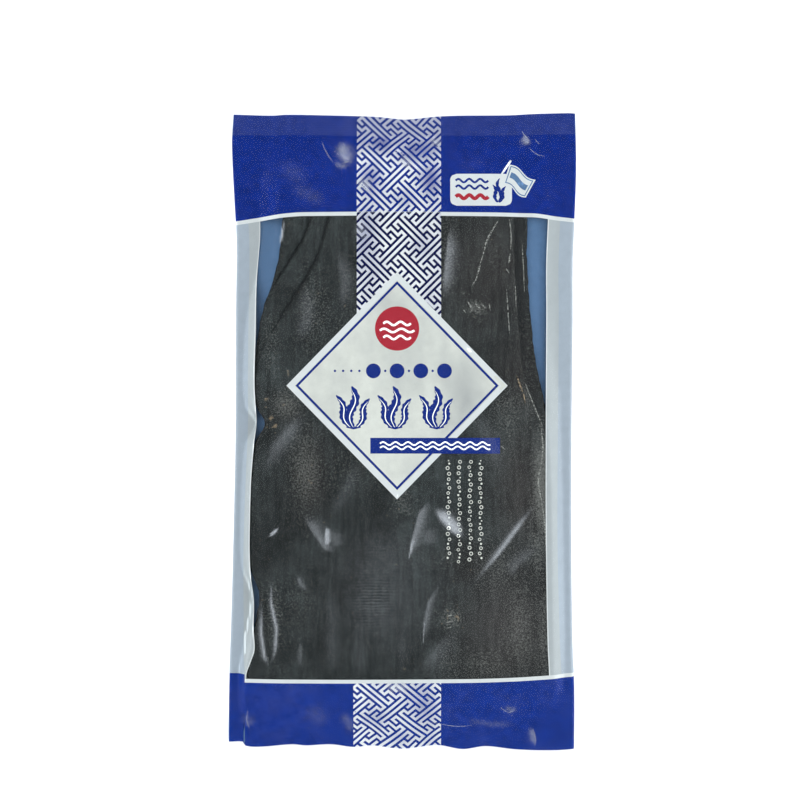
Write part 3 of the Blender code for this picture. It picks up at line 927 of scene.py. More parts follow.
def kelp_finish(name, tones):
    """Dried kelp: dark and leathery, browner in places, with salt bloom, streaks, torn tan edges and painted shade in
    its grooves.
    """
    made, tree, shader, place = finish_start(name)
    mottle = use(tree, patches_group(), Vector=place, Scale=60.0, Detail=6.0, Low=0.30, High=0.72)
    grain = use(tree, patches_group(), Vector=place, Scale=1100.0, Detail=3.0, Low=0.28, High=0.72)
    cloud = use(tree, patches_group(), Vector=place, Scale=24.0, Detail=4.0, Low=0.34, High=0.66)
    fibre = use(tree, streaks_group(), Vector=place, Stretch=(1.0, 0.10, 1.0), Scale=480.0, Low=0.3, High=0.7)
    ribs = use(tree, streaks_group(), Vector=place, Stretch=(0.06, 1.0, 1.0), Scale=700.0, Low=0.4, High=0.7)
    specks = add(tree, "ShaderNodeTexNoise", {"Vector": place, "Scale": 1250.0, "Detail": 2.0}).outputs["Fac"]
    flecks = add(tree, "ShaderNodeTexNoise", {"Vector": place, "Scale": 330.0, "Detail": 6.0}).outputs["Fac"]
    base = blend(tree, mottle, tones.kelp_dark, tones.kelp_mid)
    base = blend(tree, scaled(tree, mask_of(tree, "brown"), 0.8), base, tones.kelp_brown)
    for effect, strength in ((fibre, 0.30), (grain, 0.40), (cloud, 0.34)):
        tone = add(tree, "ShaderNodeMapRange", {"Value": effect, "To Min": 1 - strength, "To Max": 1 + strength})
        base = blend(tree, 1.0, base, add(tree, "ShaderNodeCombineColor", {
            "Red": tone.outputs[0], "Green": tone.outputs[0], "Blue": tone.outputs[0]}).outputs[0], "MULTIPLY")
    salted = add(tree, "ShaderNodeMath", {0: mask_of(tree, "bloom"), 1: scaled(tree, mask_of(tree, "near_edge"), 0.35)},
                 operation="MAXIMUM").outputs[0]
    dust = crust(tree, specks, salted, 0.32, 0.60, 0.95)
    base = blend(tree, scaled(tree, dust, 0.34), base, tones.salt)
    torn = crust(tree, flecks, mask_of(tree, "tan"), 0.34, 0.70, 0.92)
    base = blend(tree, scaled(tree, torn, 0.75), base, tones.tan)
    # Painted shade in the creases, past the upper sheet's right edge and along the kelp's left edge.
    base = blend(tree, scaled(tree, mask_of(tree, "shade"), 0.8), base, (0.006, 0.008, 0.009))
    tree.links.new(base, shader.inputs["Base Color"])
    tree.links.new(scaled(tree, mottle, 0.2, 0.42), shader.inputs["Roughness"])
    shader.inputs["Specular IOR Level"].default_value = 0.14
    first = add(tree, "ShaderNodeBump", {"Height": fibre, "Strength": 0.5, "Distance": 0.0003})
    second = add(tree, "ShaderNodeBump", {"Height": ribs, "Strength": 0.35, "Distance": 0.0002,
                                          "Normal": first.outputs[0]})
    third = add(tree, "ShaderNodeBump", {"Height": mottle, "Strength": 0.6, "Distance": 0.0006,
                                         "Normal": second.outputs[0]})
    tree.links.new(third.outputs[0], shader.inputs["Normal"])
    return made


def crust_finish(name, colour, cover, low=0.38, high=0.60):
    """Thin broken crust, such as salt, or a painted highlight along a film crease: grains with gaps between them."""
    made, tree, shader, place = finish_start(name)
    grain = use(tree, patches_group(), Vector=place, Scale=1300.0, Detail=3.0, Low=low, High=high)
    tint = use(tree, patches_group(), Vector=place, Scale=500.0, Detail=2.0, Low=0.3, High=0.7)
    tree.links.new(blend(tree, tint, [0.75 * channel for channel in colour], colour), shader.inputs["Base Color"])
    tree.links.new(scaled(tree, grain, cover), shader.inputs["Alpha"])
    shader.inputs["Roughness"].default_value = 0.6
    bump = add(tree, "ShaderNodeBump", {"Height": grain, "Strength": 0.4, "Distance": 0.0002})
    tree.links.new(bump.outputs[0], shader.inputs["Normal"])
    return made


def plain_finish(name, colour, roughness):
    """Plain matt surface for the stage."""
    made, tree, shader, place = finish_start(name)
    soft = use(tree, patches_group(), Vector=place, Scale=6.0, Detail=2.0, Low=0.3, High=0.7)
    base = blend(tree, soft, colour, [min(1.0, 1.02 * channel) for channel in colour])
    tree.links.new(base, shader.inputs["Base Color"])
    shader.inputs["Roughness"].default_value = roughness
    shader.inputs["Specular IOR Level"].default_value = 0.1
    return made


# ---- Sizes and colours that a user would change ----


def length(name, description, default):
    return bpy.props.FloatProperty(name=name, description=description, default=default, min=0.0,
                                   unit="LENGTH", precision=4)


def colour(name, description, default):
    return bpy.props.FloatVectorProperty(name=name, description=description, default=default,
                                         subtype="COLOR", size=3, min=0.0, max=1.0)


class PacketSizes(bpy.types.PropertyGroup):
    """Sizes of the packet's print and of the step of its meshes."""

    film_step: length("Film step", "Distance between the film mesh's lines", FILM_STEP)
    kelp_step: length("Kelp step", "Distance between the upper sheets' lines", 1.4 * MM)
    keyline: length("Keyline", "Width of the white line along each blue band", KEYLINE)
    fret_pitch: length("Fret pitch", "Distance between two lines of the woven fret", FRET_PITCH)
    emblem: length("Emblem", "Radius of the red disc", 11.4 * MM)
    blade_height: length("Blade height", "Height of the printed kelp blades", 21.0 * MM)
    bubble: length("Bubble", "Radius of the largest printed bubble", 1.15 * MM)


class PacketColours(bpy.types.PropertyGroup):
    """Colours of the packet's print and of the kelp."""

    band: colour("Band", "Blue of the head band", (0.0050, 0.028, 0.262))
    seal: colour("Seal", "Duller blue of the heat-sealed strip", (0.024, 0.048, 0.268))
    foot: colour("Foot", "Blue of the foot band", (0.009, 0.038, 0.284))
    silver: colour("Silver", "Silvery white of the diamond", (0.85, 0.885, 0.805))
    # Painted shade on the diamond's silver.
    dull_and_shade: colour("Dull silver", "Darker patches of the silver", (0.42, 0.45, 0.45))
    fret: colour("Fret", "White of the fret's lines", (0.94, 0.97, 0.98))
    # Duller fret near the head seal, and also the painted shade on the fret's lines.
    fret_dull_and_shade: colour("Dull fret", "Duller fret lines near the head seal", (0.20, 0.22, 0.42))
    ground: colour("Ground", "Dark blue ground of the fret", (0.004, 0.008, 0.070))
    white: colour("White", "White ink of keylines and borders", (0.84, 0.89, 0.88))
    navy: colour("Navy", "Dark blue of lines and shapes on the diamond", (0.012, 0.036, 0.262))
    red: colour("Red", "Red of the emblem", (0.50, 0.034, 0.054))
    strip: colour("Strip", "Light blue down each side", (0.47, 0.55, 0.62))
    milk: colour("Milk", "Milky white beside the window", (0.52, 0.575, 0.585))
    back: colour("Back", "Steel blue of the back film's inner side", (0.130, 0.245, 0.430))
    film: colour("Film", "Tint of the clear film", (0.010, 0.012, 0.013))
    # Painted sheen: whitish film colour that stands in for reflections on creases and wrinkles.
    sheen_white: colour("Whitened film", "Film where it is creased", (0.62, 0.66, 0.70))
    kelp_dark: colour("Kelp dark", "Darkest kelp", (0.010, 0.014, 0.014))
    kelp_mid: colour("Kelp middle", "Most of the kelp", (0.041, 0.050, 0.050))
    kelp_brown: colour("Kelp brown", "Browner kelp", (0.041, 0.038, 0.036))
    salt: colour("Salt", "Salt bloom on the kelp", (0.44, 0.46, 0.42))
    tan: colour("Tan", "Torn and dried kelp edges", (0.52, 0.40, 0.25))
    floor: colour("Floor", "Surface that the packet lies on", (0.95, 0.95, 0.95))


def sizes():
    return bpy.context.scene.kelp_packet_sizes


def colours():
    return bpy.context.scene.kelp_packet_colours


# ---- Pieces ----


def left_side(y):
    return along(LEFT_SIDE, y)


def right_side(y):
    return along(RIGHT_SIDE, y)


def head_edge(x):
    return along(HEAD_BAND_EDGE, x)


def foot_edge(x):
    return along(FOOT_BAND_EDGE, x)


def pleat_fold(y):
    """Where the front panel folds under, beside the strip of film at its left."""
    return left_side(y) + PLEAT_INSET


class PieceOperator:
    """What every operator here shares: it builds its pieces and reports that it has finished."""

    bl_options = {"REGISTER", "UNDO"}

    def execute(self, context):
        self.build()
        return {"FINISHED"}


class MakeStage(PieceOperator, bpy.types.Operator):
    """Make the pale floor, the soft lights and the camera above the packet"""

    bl_idname = "kelp_packet.make_stage"
    bl_label = "Stage"

    def build(self):
        scene = bpy.context.scene
        scene.view_settings.view_transform = "Standard"
        floor_mesh = bpy.data.meshes.new("floor")
        half = 2.5
        corners = [(-half, -half, 0), (half, -half, 0), (half, half, 0), (-half, half, 0)]
        floor_mesh.from_pydata(corners, [], [(0, 1, 2, 3)])
        floor_mesh.materials.append(plain_finish("floor_white", colours().floor, 0.7))
        floor = bpy.data.objects.new("floor", floor_mesh)
        floor.location.z = LOW[2] - 0.2 * MM
        scene.collection.objects.link(floor)
        scene.world = studio_world()
        for name, turn, reach, power in (("left_softbox", 180, 1.5, 6.2), ("right_softbox", 0, 1.5, 9.8),
                                         ("head_softbox", 90, 1.6, 5.8), ("foot_softbox", 270, 1.6, 5.2)):
            softbox(name, turn, reach, 0.78, (1.5, 0.6), power)
        lens = bpy.data.cameras.new("camera")
        lens.sensor_width = 36.0
        lens.lens = 36.0 * (CAMERA_HEIGHT - 6 * MM) / VIEW_WIDTH
        camera = bpy.data.objects.new("camera", lens)
        camera.location = (CAMERA_AIM[0], CAMERA_AIM[1], CAMERA_HEIGHT)
        scene.collection.objects.link(camera)
        scene.camera = camera


HORIZON_LIGHT = 1.80
OVERHEAD_LIGHT = 1.26


def studio_world():
    """Soft light from all round, a little brighter near the horizon, so that every slope is lit evenly."""
    world = bpy.data.worlds.new("studio")
    world.use_nodes = True
    tree = world.node_tree
    direction = tree.nodes.new("ShaderNodeTexCoord").outputs["Generated"]
    up = add(tree, "ShaderNodeSeparateXYZ", {0: direction}).outputs["Z"]
    fall = add(tree, "ShaderNodeMapRange", {"Value": up, "From Min": 0.40, "From Max": 0.62,
                                            "To Min": HORIZON_LIGHT, "To Max": OVERHEAD_LIGHT})
    tree.nodes["Background"].inputs["Color"].default_value = (0.93, 0.96, 1.0, 1.0)
    tree.links.new(fall.outputs[0], tree.nodes["Background"].inputs["Strength"])
    return world


def softbox(name, turn, reach, height, size, power):
    """Rectangular light round the packet, turned by degrees from +X and facing the packet."""
    light = bpy.data.lights.new(name, "AREA")
    light.shape = "RECTANGLE"
    light.size, light.size_y = size
    light.energy = power
    made = bpy.data.objects.new(name, light)
    angle = math.radians(turn)
    made.location = (reach * math.cos(angle), reach * math.sin(angle), height)
    made.rotation_euler = made.location.to_track_quat("Z", "Y").to_euler()
    made.visible_camera = False
    bpy.context.scene.collection.objects.link(made)


CAMERA_HEIGHT = 1.35
CAMERA_AIM = (-1.3 * MM, 16.3 * MM)
VIEW_WIDTH = 413 * MM


class MakeFrontFilm(PieceOperator, bpy.types.Operator):
    """Make the clear front film, drawn down over the pile and folded round at its sides"""

    bl_idname = "kelp_packet.make_front_film"
    bl_label = "Front Film"

    def build(self):
        step = sizes().film_step
        edge = np.array([0, 0.12, 0.35, 0.7, 1.2, 2.0]) * MM
        fold = PLEAT_INSET + np.array([-0.6, 0.0, 0.18, 0.35, 0.9]) * MM
        rows = span(FOOT_Y, HEAD_Y, step)[:, None]
        left, right = left_side(rows), right_side(rows)
        first = np.concatenate([edge, span(3 * MM, 7 * MM, step), fold])[None, :]
        start = 10.2 * MM
        inner = np.linspace(0, 1, int((0.180 - start - 3 * MM) / step) + 1)[None, :]
        middle = left + start + inner * (right - left - start - 3 * MM)
        x = np.concatenate([left + first, middle, right - edge[::-1][None, :]], axis=1)
        y = np.broadcast_to(rows, x.shape)
        mesh = grid_mesh("front_film", drape(x, y))
        # Painted sheen masks: whitish film that stands in for reflections, and rib lines of painted sheen.
        store_mask(mesh, "painted_sheen", sheen(x, y))
        store_mask(mesh, "drawn", spots(points_of(mesh), RIB_SHEEN))
        film = piece("front_film", mesh, clear_finish("clear_film", colours().film, colours().sheen_white))
        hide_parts("packet")


class MakeBackFilm(PieceOperator, bpy.types.Operator):
    """Make the printed back film and the long seam down its middle"""

    bl_idname = "kelp_packet.make_back_film"
    bl_label = "Back Film"

    def build(self):
        shape = block(left_side, right_side, FOOT_Y, HEAD_Y, 2.5 * MM)
        x, y = shape[..., 0], shape[..., 1]
        shift, lift = end_wave(x, y)
        points = np.stack([x, y + shift, 0.20 * MM + lift], axis=-1)
        finish = ink_finish("back_print", colours().back, roughness=0.4, uneven=0.08)
        piece("back_film", grid_mesh("back_film", points[::-1]), finish)
        seam = block(-6 * MM, 6 * MM, FOOT_Y + SEAL_DEPTH, HEAD_Y - SEAL_DEPTH, 3 * MM)
        level = 0.10 * MM + end_wave(seam[..., 0], seam[..., 1])[1]
        points = np.stack([seam[..., 0], seam[..., 1], level], axis=-1)
        deeper = [0.72 * channel for channel in colours().back]
        piece("back_seam", grid_mesh("back_seam", points[::-1]),
              ink_finish("seam_print", deeper, roughness=0.4, uneven=0.12))


class MakeBands(PieceOperator, bpy.types.Operator):
    """Make the blue head and foot bands, the heat-sealed strip and the white keylines"""

    bl_idname = "kelp_packet.make_bands"
    bl_label = "Bands"

    def build(self):
        tones, keyline = colours(), sizes().keyline
        seal_y = HEAD_Y - SEAL_DEPTH
        band = ink_finish("band_ink", tones.band, uneven=0.20, pale=0.02)
        foot = ink_finish("foot_ink", tones.foot, uneven=0.20, pale=0.05)
        white = ink_finish("white_ink", tones.white, uneven=0.03)
        step = 1.0 * MM
        fields = (
            ("head_band", band, [block(left_side, right_side, head_edge, seal_y, step)]),
            ("head_seal", seal_finish("seal_ink", tones.seal), [block(left_side, right_side, seal_y, HEAD_Y, step)]),
            ("foot_band", foot, self.foot_fields(step)),
            ("head_keyline", white, [block(left_side, right_side, lambda x: head_edge(x) - keyline, head_edge, step)]),
            ("foot_keyline", white, [block(pleat_fold, right_side, foot_edge, lambda x: foot_edge(x) + keyline, step)]),
        )
        for name, finish, shapes in fields:
            piece(name, ink_mesh(name, shapes, -GAP), finish)

    def foot_fields(self, step):
        """The foot band on both sides of the pleat, so that its fold stays sharp."""
        def lip(y):
            return pleat_fold(y) + PLEAT_LIP

        return [block(left_side, pleat_fold, FOOT_Y, PLEAT_BAND_EDGE, step),
                block(pleat_fold, lip, FOOT_Y, foot_edge, step), block(lip, right_side, FOOT_Y, foot_edge, step)]


class MakeMargins(PieceOperator, bpy.types.Operator):
    """Make the light-blue and milky strips down both sides of the window"""

    bl_idname = "kelp_packet.make_margins"
    bl_label = "Side Margins"

    def build(self):
        def inset(knots, side, sign):
            return lambda y: side(y) + sign * along(knots, y)

        def foot(x):
            return foot_edge(x) + sizes().keyline

        def head(x):
            return head_edge(x) - sizes().keyline

        strip = ink_finish("strip_ink", colours().strip, uneven=0.04)
        milk = ink_finish("milk_ink", colours().milk, uneven=0.03)
        left_blue, left_milk = inset(LEFT_STRIP, left_side, 1), inset(LEFT_MILK, left_side, 1)
        right_blue, right_milk = inset(RIGHT_STRIP, right_side, -1), inset(RIGHT_MILK, right_side, -1)
        step = 1.0 * MM
        strips = [block(left_side, left_blue, PLEAT_BAND_EDGE, head, step),
                  block(right_blue, right_side, foot, head, step)]
        milks = [block(left_blue, left_milk, foot, head, step), block(right_milk, right_blue, foot, head, step)]
        piece("side_strips", ink_mesh("side_strips", strips, -GAP), strip)
        piece("milky_strips", ink_mesh("milky_strips", milks, -GAP), milk)
        lines = [block(lambda y: left_milk(y) - WINDOW_LINE, left_milk, foot, head, step),
                 block(right_milk, lambda y: right_milk(y) + WINDOW_LINE, foot, head, step)]
        piece("window_lines", ink_mesh("window_lines", lines, -0.7 * GAP),
              ink_finish("line_ink", colours().white, uneven=0.05))


# Painted shade on the fret's silver: x, y, half width, half height and strength, in millimetres.
FRET_SHADE_PATCHES = (
    (-12, 150, 10, 6, 0.90), (8, 146, 12, 8, 0.85), (14, 131, 7, 10, 0.75), (-17, 131, 6, 9, 0.70), (0, 120, 9, 5, 0.40),
    (-20, 104, 4, 12, 0.35), (12, 96, 8, 7, 0.30), (-16, -148, 8, 6, 0.40), (12, -142, 7, 8, 0.45), (0, -158, 12, 4, 0.35),
)


class MakeFret(PieceOperator, bpy.types.Operator):
    """Make the woven fret of silver lines and its blue ground"""

    bl_idname = "kelp_packet.make_fret"
    bl_label = "Woven Fret"

    def build(self):
        low = DIAMOND[1] + 0.45 * DIAMOND_HALF[1]
        head = (FRET_HEAD_NODE, 1.0, (FRET_LEFT, FRET_RIGHT, low, HEAD_Y))
        foot = (FRET_FOOT_NODE, FRET_FOOT_SQUASH, (FRET_FOOT_LEFT, FRET_RIGHT, FOOT_Y, FOOT_BAND_EDGE[3][1] * MM))
        mesh = fret_mesh("fret_lines", [head, foot], sizes().fret_pitch, FRET_LINE, -0.4 * GAP)
        store_mask(mesh, "painted_silver_shade", spots(points_of(mesh), FRET_SHADE_PATCHES))
        silver = silver_finish("fret_silver", colours().fret, colours().fret_dull_and_shade, 0.10, dull_from=138 * MM)
        piece("fret_lines", mesh, silver)
        ground = block(FRET_LEFT, FRET_RIGHT, low, lambda x: head_edge(x) - 0.2 * MM, 1.0 * MM)
        piece("fret_ground", ink_mesh("fret_ground", [ground], -0.8 * GAP),
              ink_finish("fret_ground_ink", colours().ground, uneven=0.12))


# Painted shade on the diamond's silver: x, y, half width, half height and strength, in millimetres.
DIAMOND_SHADE_PATCHES = (
    (30, 24, 11, 17, 0.58), (24, 6, 9, 8, 0.40), (-3, 66, 16, 10, 0.25), (-14, 42, 6, 22, 0.10), (-3, 20, 5, 12, 0.10),
)


class MakeDiamond(PieceOperator, bpy.types.Operator):
    """Make the silvery diamond, its white border and its thin blue line"""

    bl_idname = "kelp_packet.make_diamond"
    bl_label = "Diamond"

    def build(self):
        tones = colours()
        panel = rhombus(DIAMOND, DIAMOND_HALF, 100)
        border = rhombus(DIAMOND, DIAMOND_HALF, 90, inner=0.93)
        line = rhombus(DIAMOND, [0.918 * half for half in DIAMOND_HALF], 90, inner=0.968)
        silver = silver_finish("panel_silver", tones.silver, tones.dull_and_shade, 0.05)
        mesh = ink_mesh("diamond_panel", panel, -0.35 * GAP)
        store_mask(mesh, "painted_silver_shade", spots(points_of(mesh), DIAMOND_SHADE_PATCHES))
        piece("diamond_panel", mesh, silver)
        piece("diamond_border", ink_mesh("diamond_border", border, -0.15 * GAP),
              ink_finish("border_ink", tones.white, uneven=0.03))
        piece("diamond_line", ink_mesh("diamond_line", line, -0.15 * GAP),
              ink_finish("navy_ink", tones.navy, uneven=0.08))


class MakeEmblem(PieceOperator, bpy.types.Operator):
    """Make the red disc with its white waves, and the row of dots and discs under it"""

    bl_idname = "kelp_packet.make_emblem"
    bl_label = "Emblem and Dots"

    def build(self):
        tones, radius = colours(), sizes().emblem
        centre = (DIAMOND[0], DIAMOND[1] + 29.4 * MM)
        piece("red_disc", ink_mesh("red_disc", [disc(*centre, radius, 56)], -0.15 * GAP),
              ink_finish("red_ink", tones.red, uneven=0.06))
        waves = []
        for level, reach in ((2.6, 0.62), (-1.0, 0.78), (-4.6, 0.62)):
            half = reach * radius
            waves.append(wave_line(centre[0] - half, centre[0] + half, centre[1] + level * MM, 0.9 * MM,
                                   half, 1.1 * MM))
        piece("disc_waves", ink_mesh("disc_waves", waves, 0.02 * MM),
              ink_finish("wave_ink", tones.white, uneven=0.03))
        row_y = DIAMOND[1] + 7.6 * MM
        discs = [disc(DIAMOND[0] + (k - 1) * 12.2 * MM, row_y, 3.8 * MM, 36) for k in range(4)]
        dots = [disc(DIAMOND[0] + (k - 0.5) * 12.2 * MM, row_y, 0.62 * MM, 14) for k in range(3)]
        dots += [disc(DIAMOND[0] - 19.4 * MM - k * 4.2 * MM, row_y, 0.62 * MM, 14) for k in range(4)]
        piece("blue_discs", ink_mesh("blue_discs", discs + dots, -0.15 * GAP),
              ink_finish("disc_ink", tones.navy, uneven=0.10))


class MakeBlades(PieceOperator, bpy.types.Operator):
    """Make the three printed clumps of kelp blades on the diamond"""

    bl_idname = "kelp_packet.make_blades"
    bl_label = "Printed Blades"

    def build(self):
        tall = sizes().blade_height
        foot_y = DIAMOND[1] - 21.4 * MM
        blades, ribs = [], []
        for k in range(3):
            foot_x = DIAMOND[0] + (k - 1) * 21.4 * MM - 1.0 * MM
            for lean, height, width in ((-7.2, 0.78, 3.6), (-0.8, 1.0, 4.6), (6.6, 0.70, 3.6)):
                root = (foot_x + 0.25 * lean * MM, foot_y)
                blades.append(blade(root, height * tall, lean * MM, width * MM))
                ribs.append(blade(root, 0.9 * height * tall, 0.9 * lean * MM, 0.5 * MM, ruffle=0))
            blades.append(ribbon([(foot_x - 3.6 * MM, foot_y + 0.4 * MM), (foot_x, foot_y - 0.5 * MM),
                                  (foot_x + 3.6 * MM, foot_y + 0.4 * MM)], 1.3 * MM))
        piece("printed_blades", ink_mesh("printed_blades", blades, -0.15 * GAP),
              ink_finish("blade_ink", colours().navy, uneven=0.10))
        piece("blade_ribs", ink_mesh("blade_ribs", ribs, 0.02 * MM),
              ink_finish("rib_ink", colours().silver, uneven=0.05))


class MakeBar(PieceOperator, bpy.types.Operator):
    """Make the blue bar with its fine white wave, and the bubbles that rise under it"""

    bl_idname = "kelp_packet.make_bar"
    bl_label = "Bar and Bubbles"

    def build(self):
        left, right = DIAMOND[0] - 13.8 * MM, DIAMOND[0] + 53.0 * MM
        foot, head = DIAMOND[1] - 35.0 * MM, DIAMOND[1] - 26.9 * MM
        middle = 0.5 * (foot + head)
        piece("blue_bar", ink_mesh("blue_bar", [block(left, right, foot, head, 1.0 * MM)], -0.12 * GAP),
              ink_finish("bar_ink", colours().navy, uneven=0.08))
        waves = [wave_line(left + 5 * MM, right - 5 * MM, middle + 1.1 * MM, 0.8 * MM, 6.4 * MM, 0.75 * MM),
                 wave_line(left + 5 * MM, right - 5 * MM, middle - 1.1 * MM, 0.8 * MM, 6.4 * MM, 0.75 * MM)]
        piece("bar_waves", ink_mesh("bar_waves", waves, 0.02 * MM),
              ink_finish("bar_wave_ink", colours().white, uneven=0.03))
        largest = sizes().bubble
        bubbles = []
        columns = ((23.7, 31), (29.2, 29), (34.8, 28), (40.2, 27))
        for number, (x, count) in enumerate(columns):
            y = -14.6 * MM
            for k in range(count):
                share = 0.30 + 0.70 * abs(math.sin(2.9 * k * k + 2.1 * number))
                radius = share * largest * (0.9 if number in (1, 2) else 1.0)
                sway = 0.5 * MM * math.sin(2.3 * k + number)
                if y - radius < -67 * MM:
                    break
                bubbles.append(disc(x * MM + sway, y - radius, radius, 16, hollow=0.6 if share > 0.6 else 0.0))
                y -= 2 * radius + (0.5 + 0.5 * share) * MM
        piece("printed_bubbles", ink_mesh("printed_bubbles", bubbles, -0.2 * GAP),
              ink_finish("bubble_ink", colours().silver, uneven=0.12))


class MakeBadge(PieceOperator, bpy.types.Operator):
    """Make the white rounded badge with its waves and blades, and the plain pennant beside it"""

    bl_idname = "kelp_packet.make_badge"
    bl_label = "Badge and Pennant"

    def build(self):
        left, right, foot, head, round_off = (value * MM for value in (24.6, 56.4, 116.4, 133.0, 3.2))

        def corner(y):
            deep = np.clip((np.abs(y - 0.5 * (foot + head)) - 0.5 * (head - foot) + round_off) / round_off, 0, 1)
            return round_off * (1 - np.sqrt(1 - deep * deep))

        plate = block(lambda y: left + corner(y), lambda y: right - corner(y), foot, head, 0.9 * MM)
        white = ink_finish("badge_white", colours().white, uneven=0.03)
        blue = ink_finish("badge_blue", colours().navy, uneven=0.08)
        piece("badge", ink_mesh("badge", [plate], -0.4 * GAP), white)
        marks = [wave_line(left + 2.8 * MM, left + 19.6 * MM, foot + (9.6 + 3.4 * k) * MM, 0.9 * MM, 5.6 * MM,
                           1.1 * MM) for k in range(2)]
        marks += [blade((left + (24.8 + lean * 0.12) * MM, foot + 1.8 * MM), tall * MM, lean * MM, 1.9 * MM, 4)
                  for lean, tall in ((-2.6, 9.0), (0.6, 12.4), (3.4, 8.2))]
        piece("badge_waves", ink_mesh("badge_waves", marks, -0.1 * GAP), blue)
        low_wave = wave_line(left + 2.8 * MM, left + 19.6 * MM, foot + 4.6 * MM, 0.9 * MM, 5.6 * MM, 1.9 * MM)
        piece("badge_red_wave", ink_mesh("badge_red_wave", [low_wave], -0.1 * GAP),
              ink_finish("badge_red", colours().red, uneven=0.06))
        pole = ribbon([(49.4 * MM, 130.2 * MM), (56.1 * MM, 140.2 * MM)], 1.0 * MM)
        piece("pennant", ink_mesh("pennant", [pennant(0, 1, 0, 1), pole], -0.25 * GAP), white)
        lines = [pennant(0.05, 0.95, low, low + 0.05) for low in (0.06, 0.89)]
        lines += [pennant(low, low + 0.035, 0.06, 0.94) for low in (0.05, 0.915)]
        lines.append(pennant(0.14, 0.86, 0.36, 0.64))
        piece("pennant_lines", ink_mesh("pennant_lines", lines, -0.05 * GAP),
              ink_finish("pennant_ink", colours().back, uneven=0.06))


PENNANT = ((55.3, 138.0), (68.8, 130.1), (63.6, 120.8), (51.9, 127.7))


def pennant(first, last, low, high):
    """Part of the waving pennant, in shares of its length and of its height from the top."""
    u, v = np.meshgrid(np.linspace(first, last, 22), np.linspace(low, high, max(2, int(14 * (high - low)))))
    top_left, top_right, foot_right, foot_left = (np.array(corner) for corner in PENNANT)
    u, v = u[..., None], v[..., None]
    upper, lower = top_left + u * (top_right - top_left), foot_left + u * (foot_right - foot_left)
    across = np.array([0.45, 0.89])
    return (upper + v * (lower - upper) + 1.0 * np.sin(2 * math.pi * u) * across) * MM


class MakeSalt(PieceOperator, bpy.types.Operator):
    """Make the long salt streaks and the tan splinter that lie on the kelp, and the painted highlights along the film's
    creases
    """

    bl_idname = "kelp_packet.make_salt"
    bl_label = "Salt Streaks"

    def build(self):
        streaks = [stroke(knots, width) for width, *knots in SALT_STREAKS]
        piece("salt_streaks", ink_mesh("salt_streaks", streaks, STREAK_DROP),
              crust_finish("salt_crust", colours().salt, 0.95))
        splinters = [stroke(knots, width) for width, *knots in SPLINTERS]
        piece("splinters", ink_mesh("splinters", splinters, STREAK_DROP),
              crust_finish("splinter_tan", colours().tan, 1.0))
        # Painted highlights: whitish grainy strokes along the film's creases that stand in for their reflections.
        creases = [stroke(knots, width) for width, *knots in CREASE_HIGHLIGHTS]
        piece("painted_crease_highlights", ink_mesh("painted_crease_highlights", creases, 0.03 * MM),
              crust_finish("painted_crease_highlight", colours().sheen_white, 0.42, 0.20, 0.75))


# Streaks on the kelp, and painted highlights along sharp creases of the film: width, then (x, y) knots, in millimetres.
STREAK_DROP = -0.13 * MM
SALT_STREAKS = (
    (1.0, (49.2, 108.6), (46.0, 103.4), (43.2, 97.6), (41.4, 91.0)),
    (0.8, (41.4, 91.0), (39.6, 84.5), (38.0, 79.0), (35.6, 74.8)),
    (0.9, (33.6, 67.0), (35.4, 63.8), (34.6, 60.6)), (0.8, (37.6, 65.8), (40.4, 63.0)),
    (0.7, (41.2, 65.4), (43.2, 62.6)), (0.6, (44.6, 66.2), (45.2, 62.4)), (0.5, (31.0, 63.6), (32.6, 61.0)),
    (0.7, (55.2, 110.0), (56.0, 101.0), (55.8, 94.0)), (0.9, (55.6, 92.0), (54.9, 86.4)),
    (0.5, (53.4, 84.2), (55.2, 81.4)), (0.6, (53.6, 73.6), (54.4, 62.0), (55.2, 50.0)),
    (0.5, (61.6, 99.0), (62.4, 86.0), (63.0, 72.0)), (0.5, (58.2, 76.0), (58.6, 64.0)),
    (0.7, (63.4, 24.7), (66.6, 16.4), (69.4, 9.6), (72.3, 2.9)), (0.8, (71.6, 2.0), (72.4, -8.0), (71.4, -18.0)),
    (1.0, (71.4, -18.0), (70.0, -26.0), (71.8, -36.0)), (0.8, (71.8, -36.0), (73.6, -50.0), (74.2, -64.0)),
    (0.5, (74.8, -78.0), (75.2, -96.0), (75.6, -112.0)), (0.5, (50.0, -7.0), (53.6, -9.6)),
    (0.5, (27.8, -94.0), (21.0, -95.4)), (0.4, (27.2, -97.2), (22.2, -98.4)), (0.4, (25.4, -100.6), (21.6, -101.4)),
)
SPLINTERS = ((0.8, (58.8, 28.9), (60.4, 24.6), (61.9, 20.5)), (0.5, (62.3, 20.0), (63.4, 14.5)))
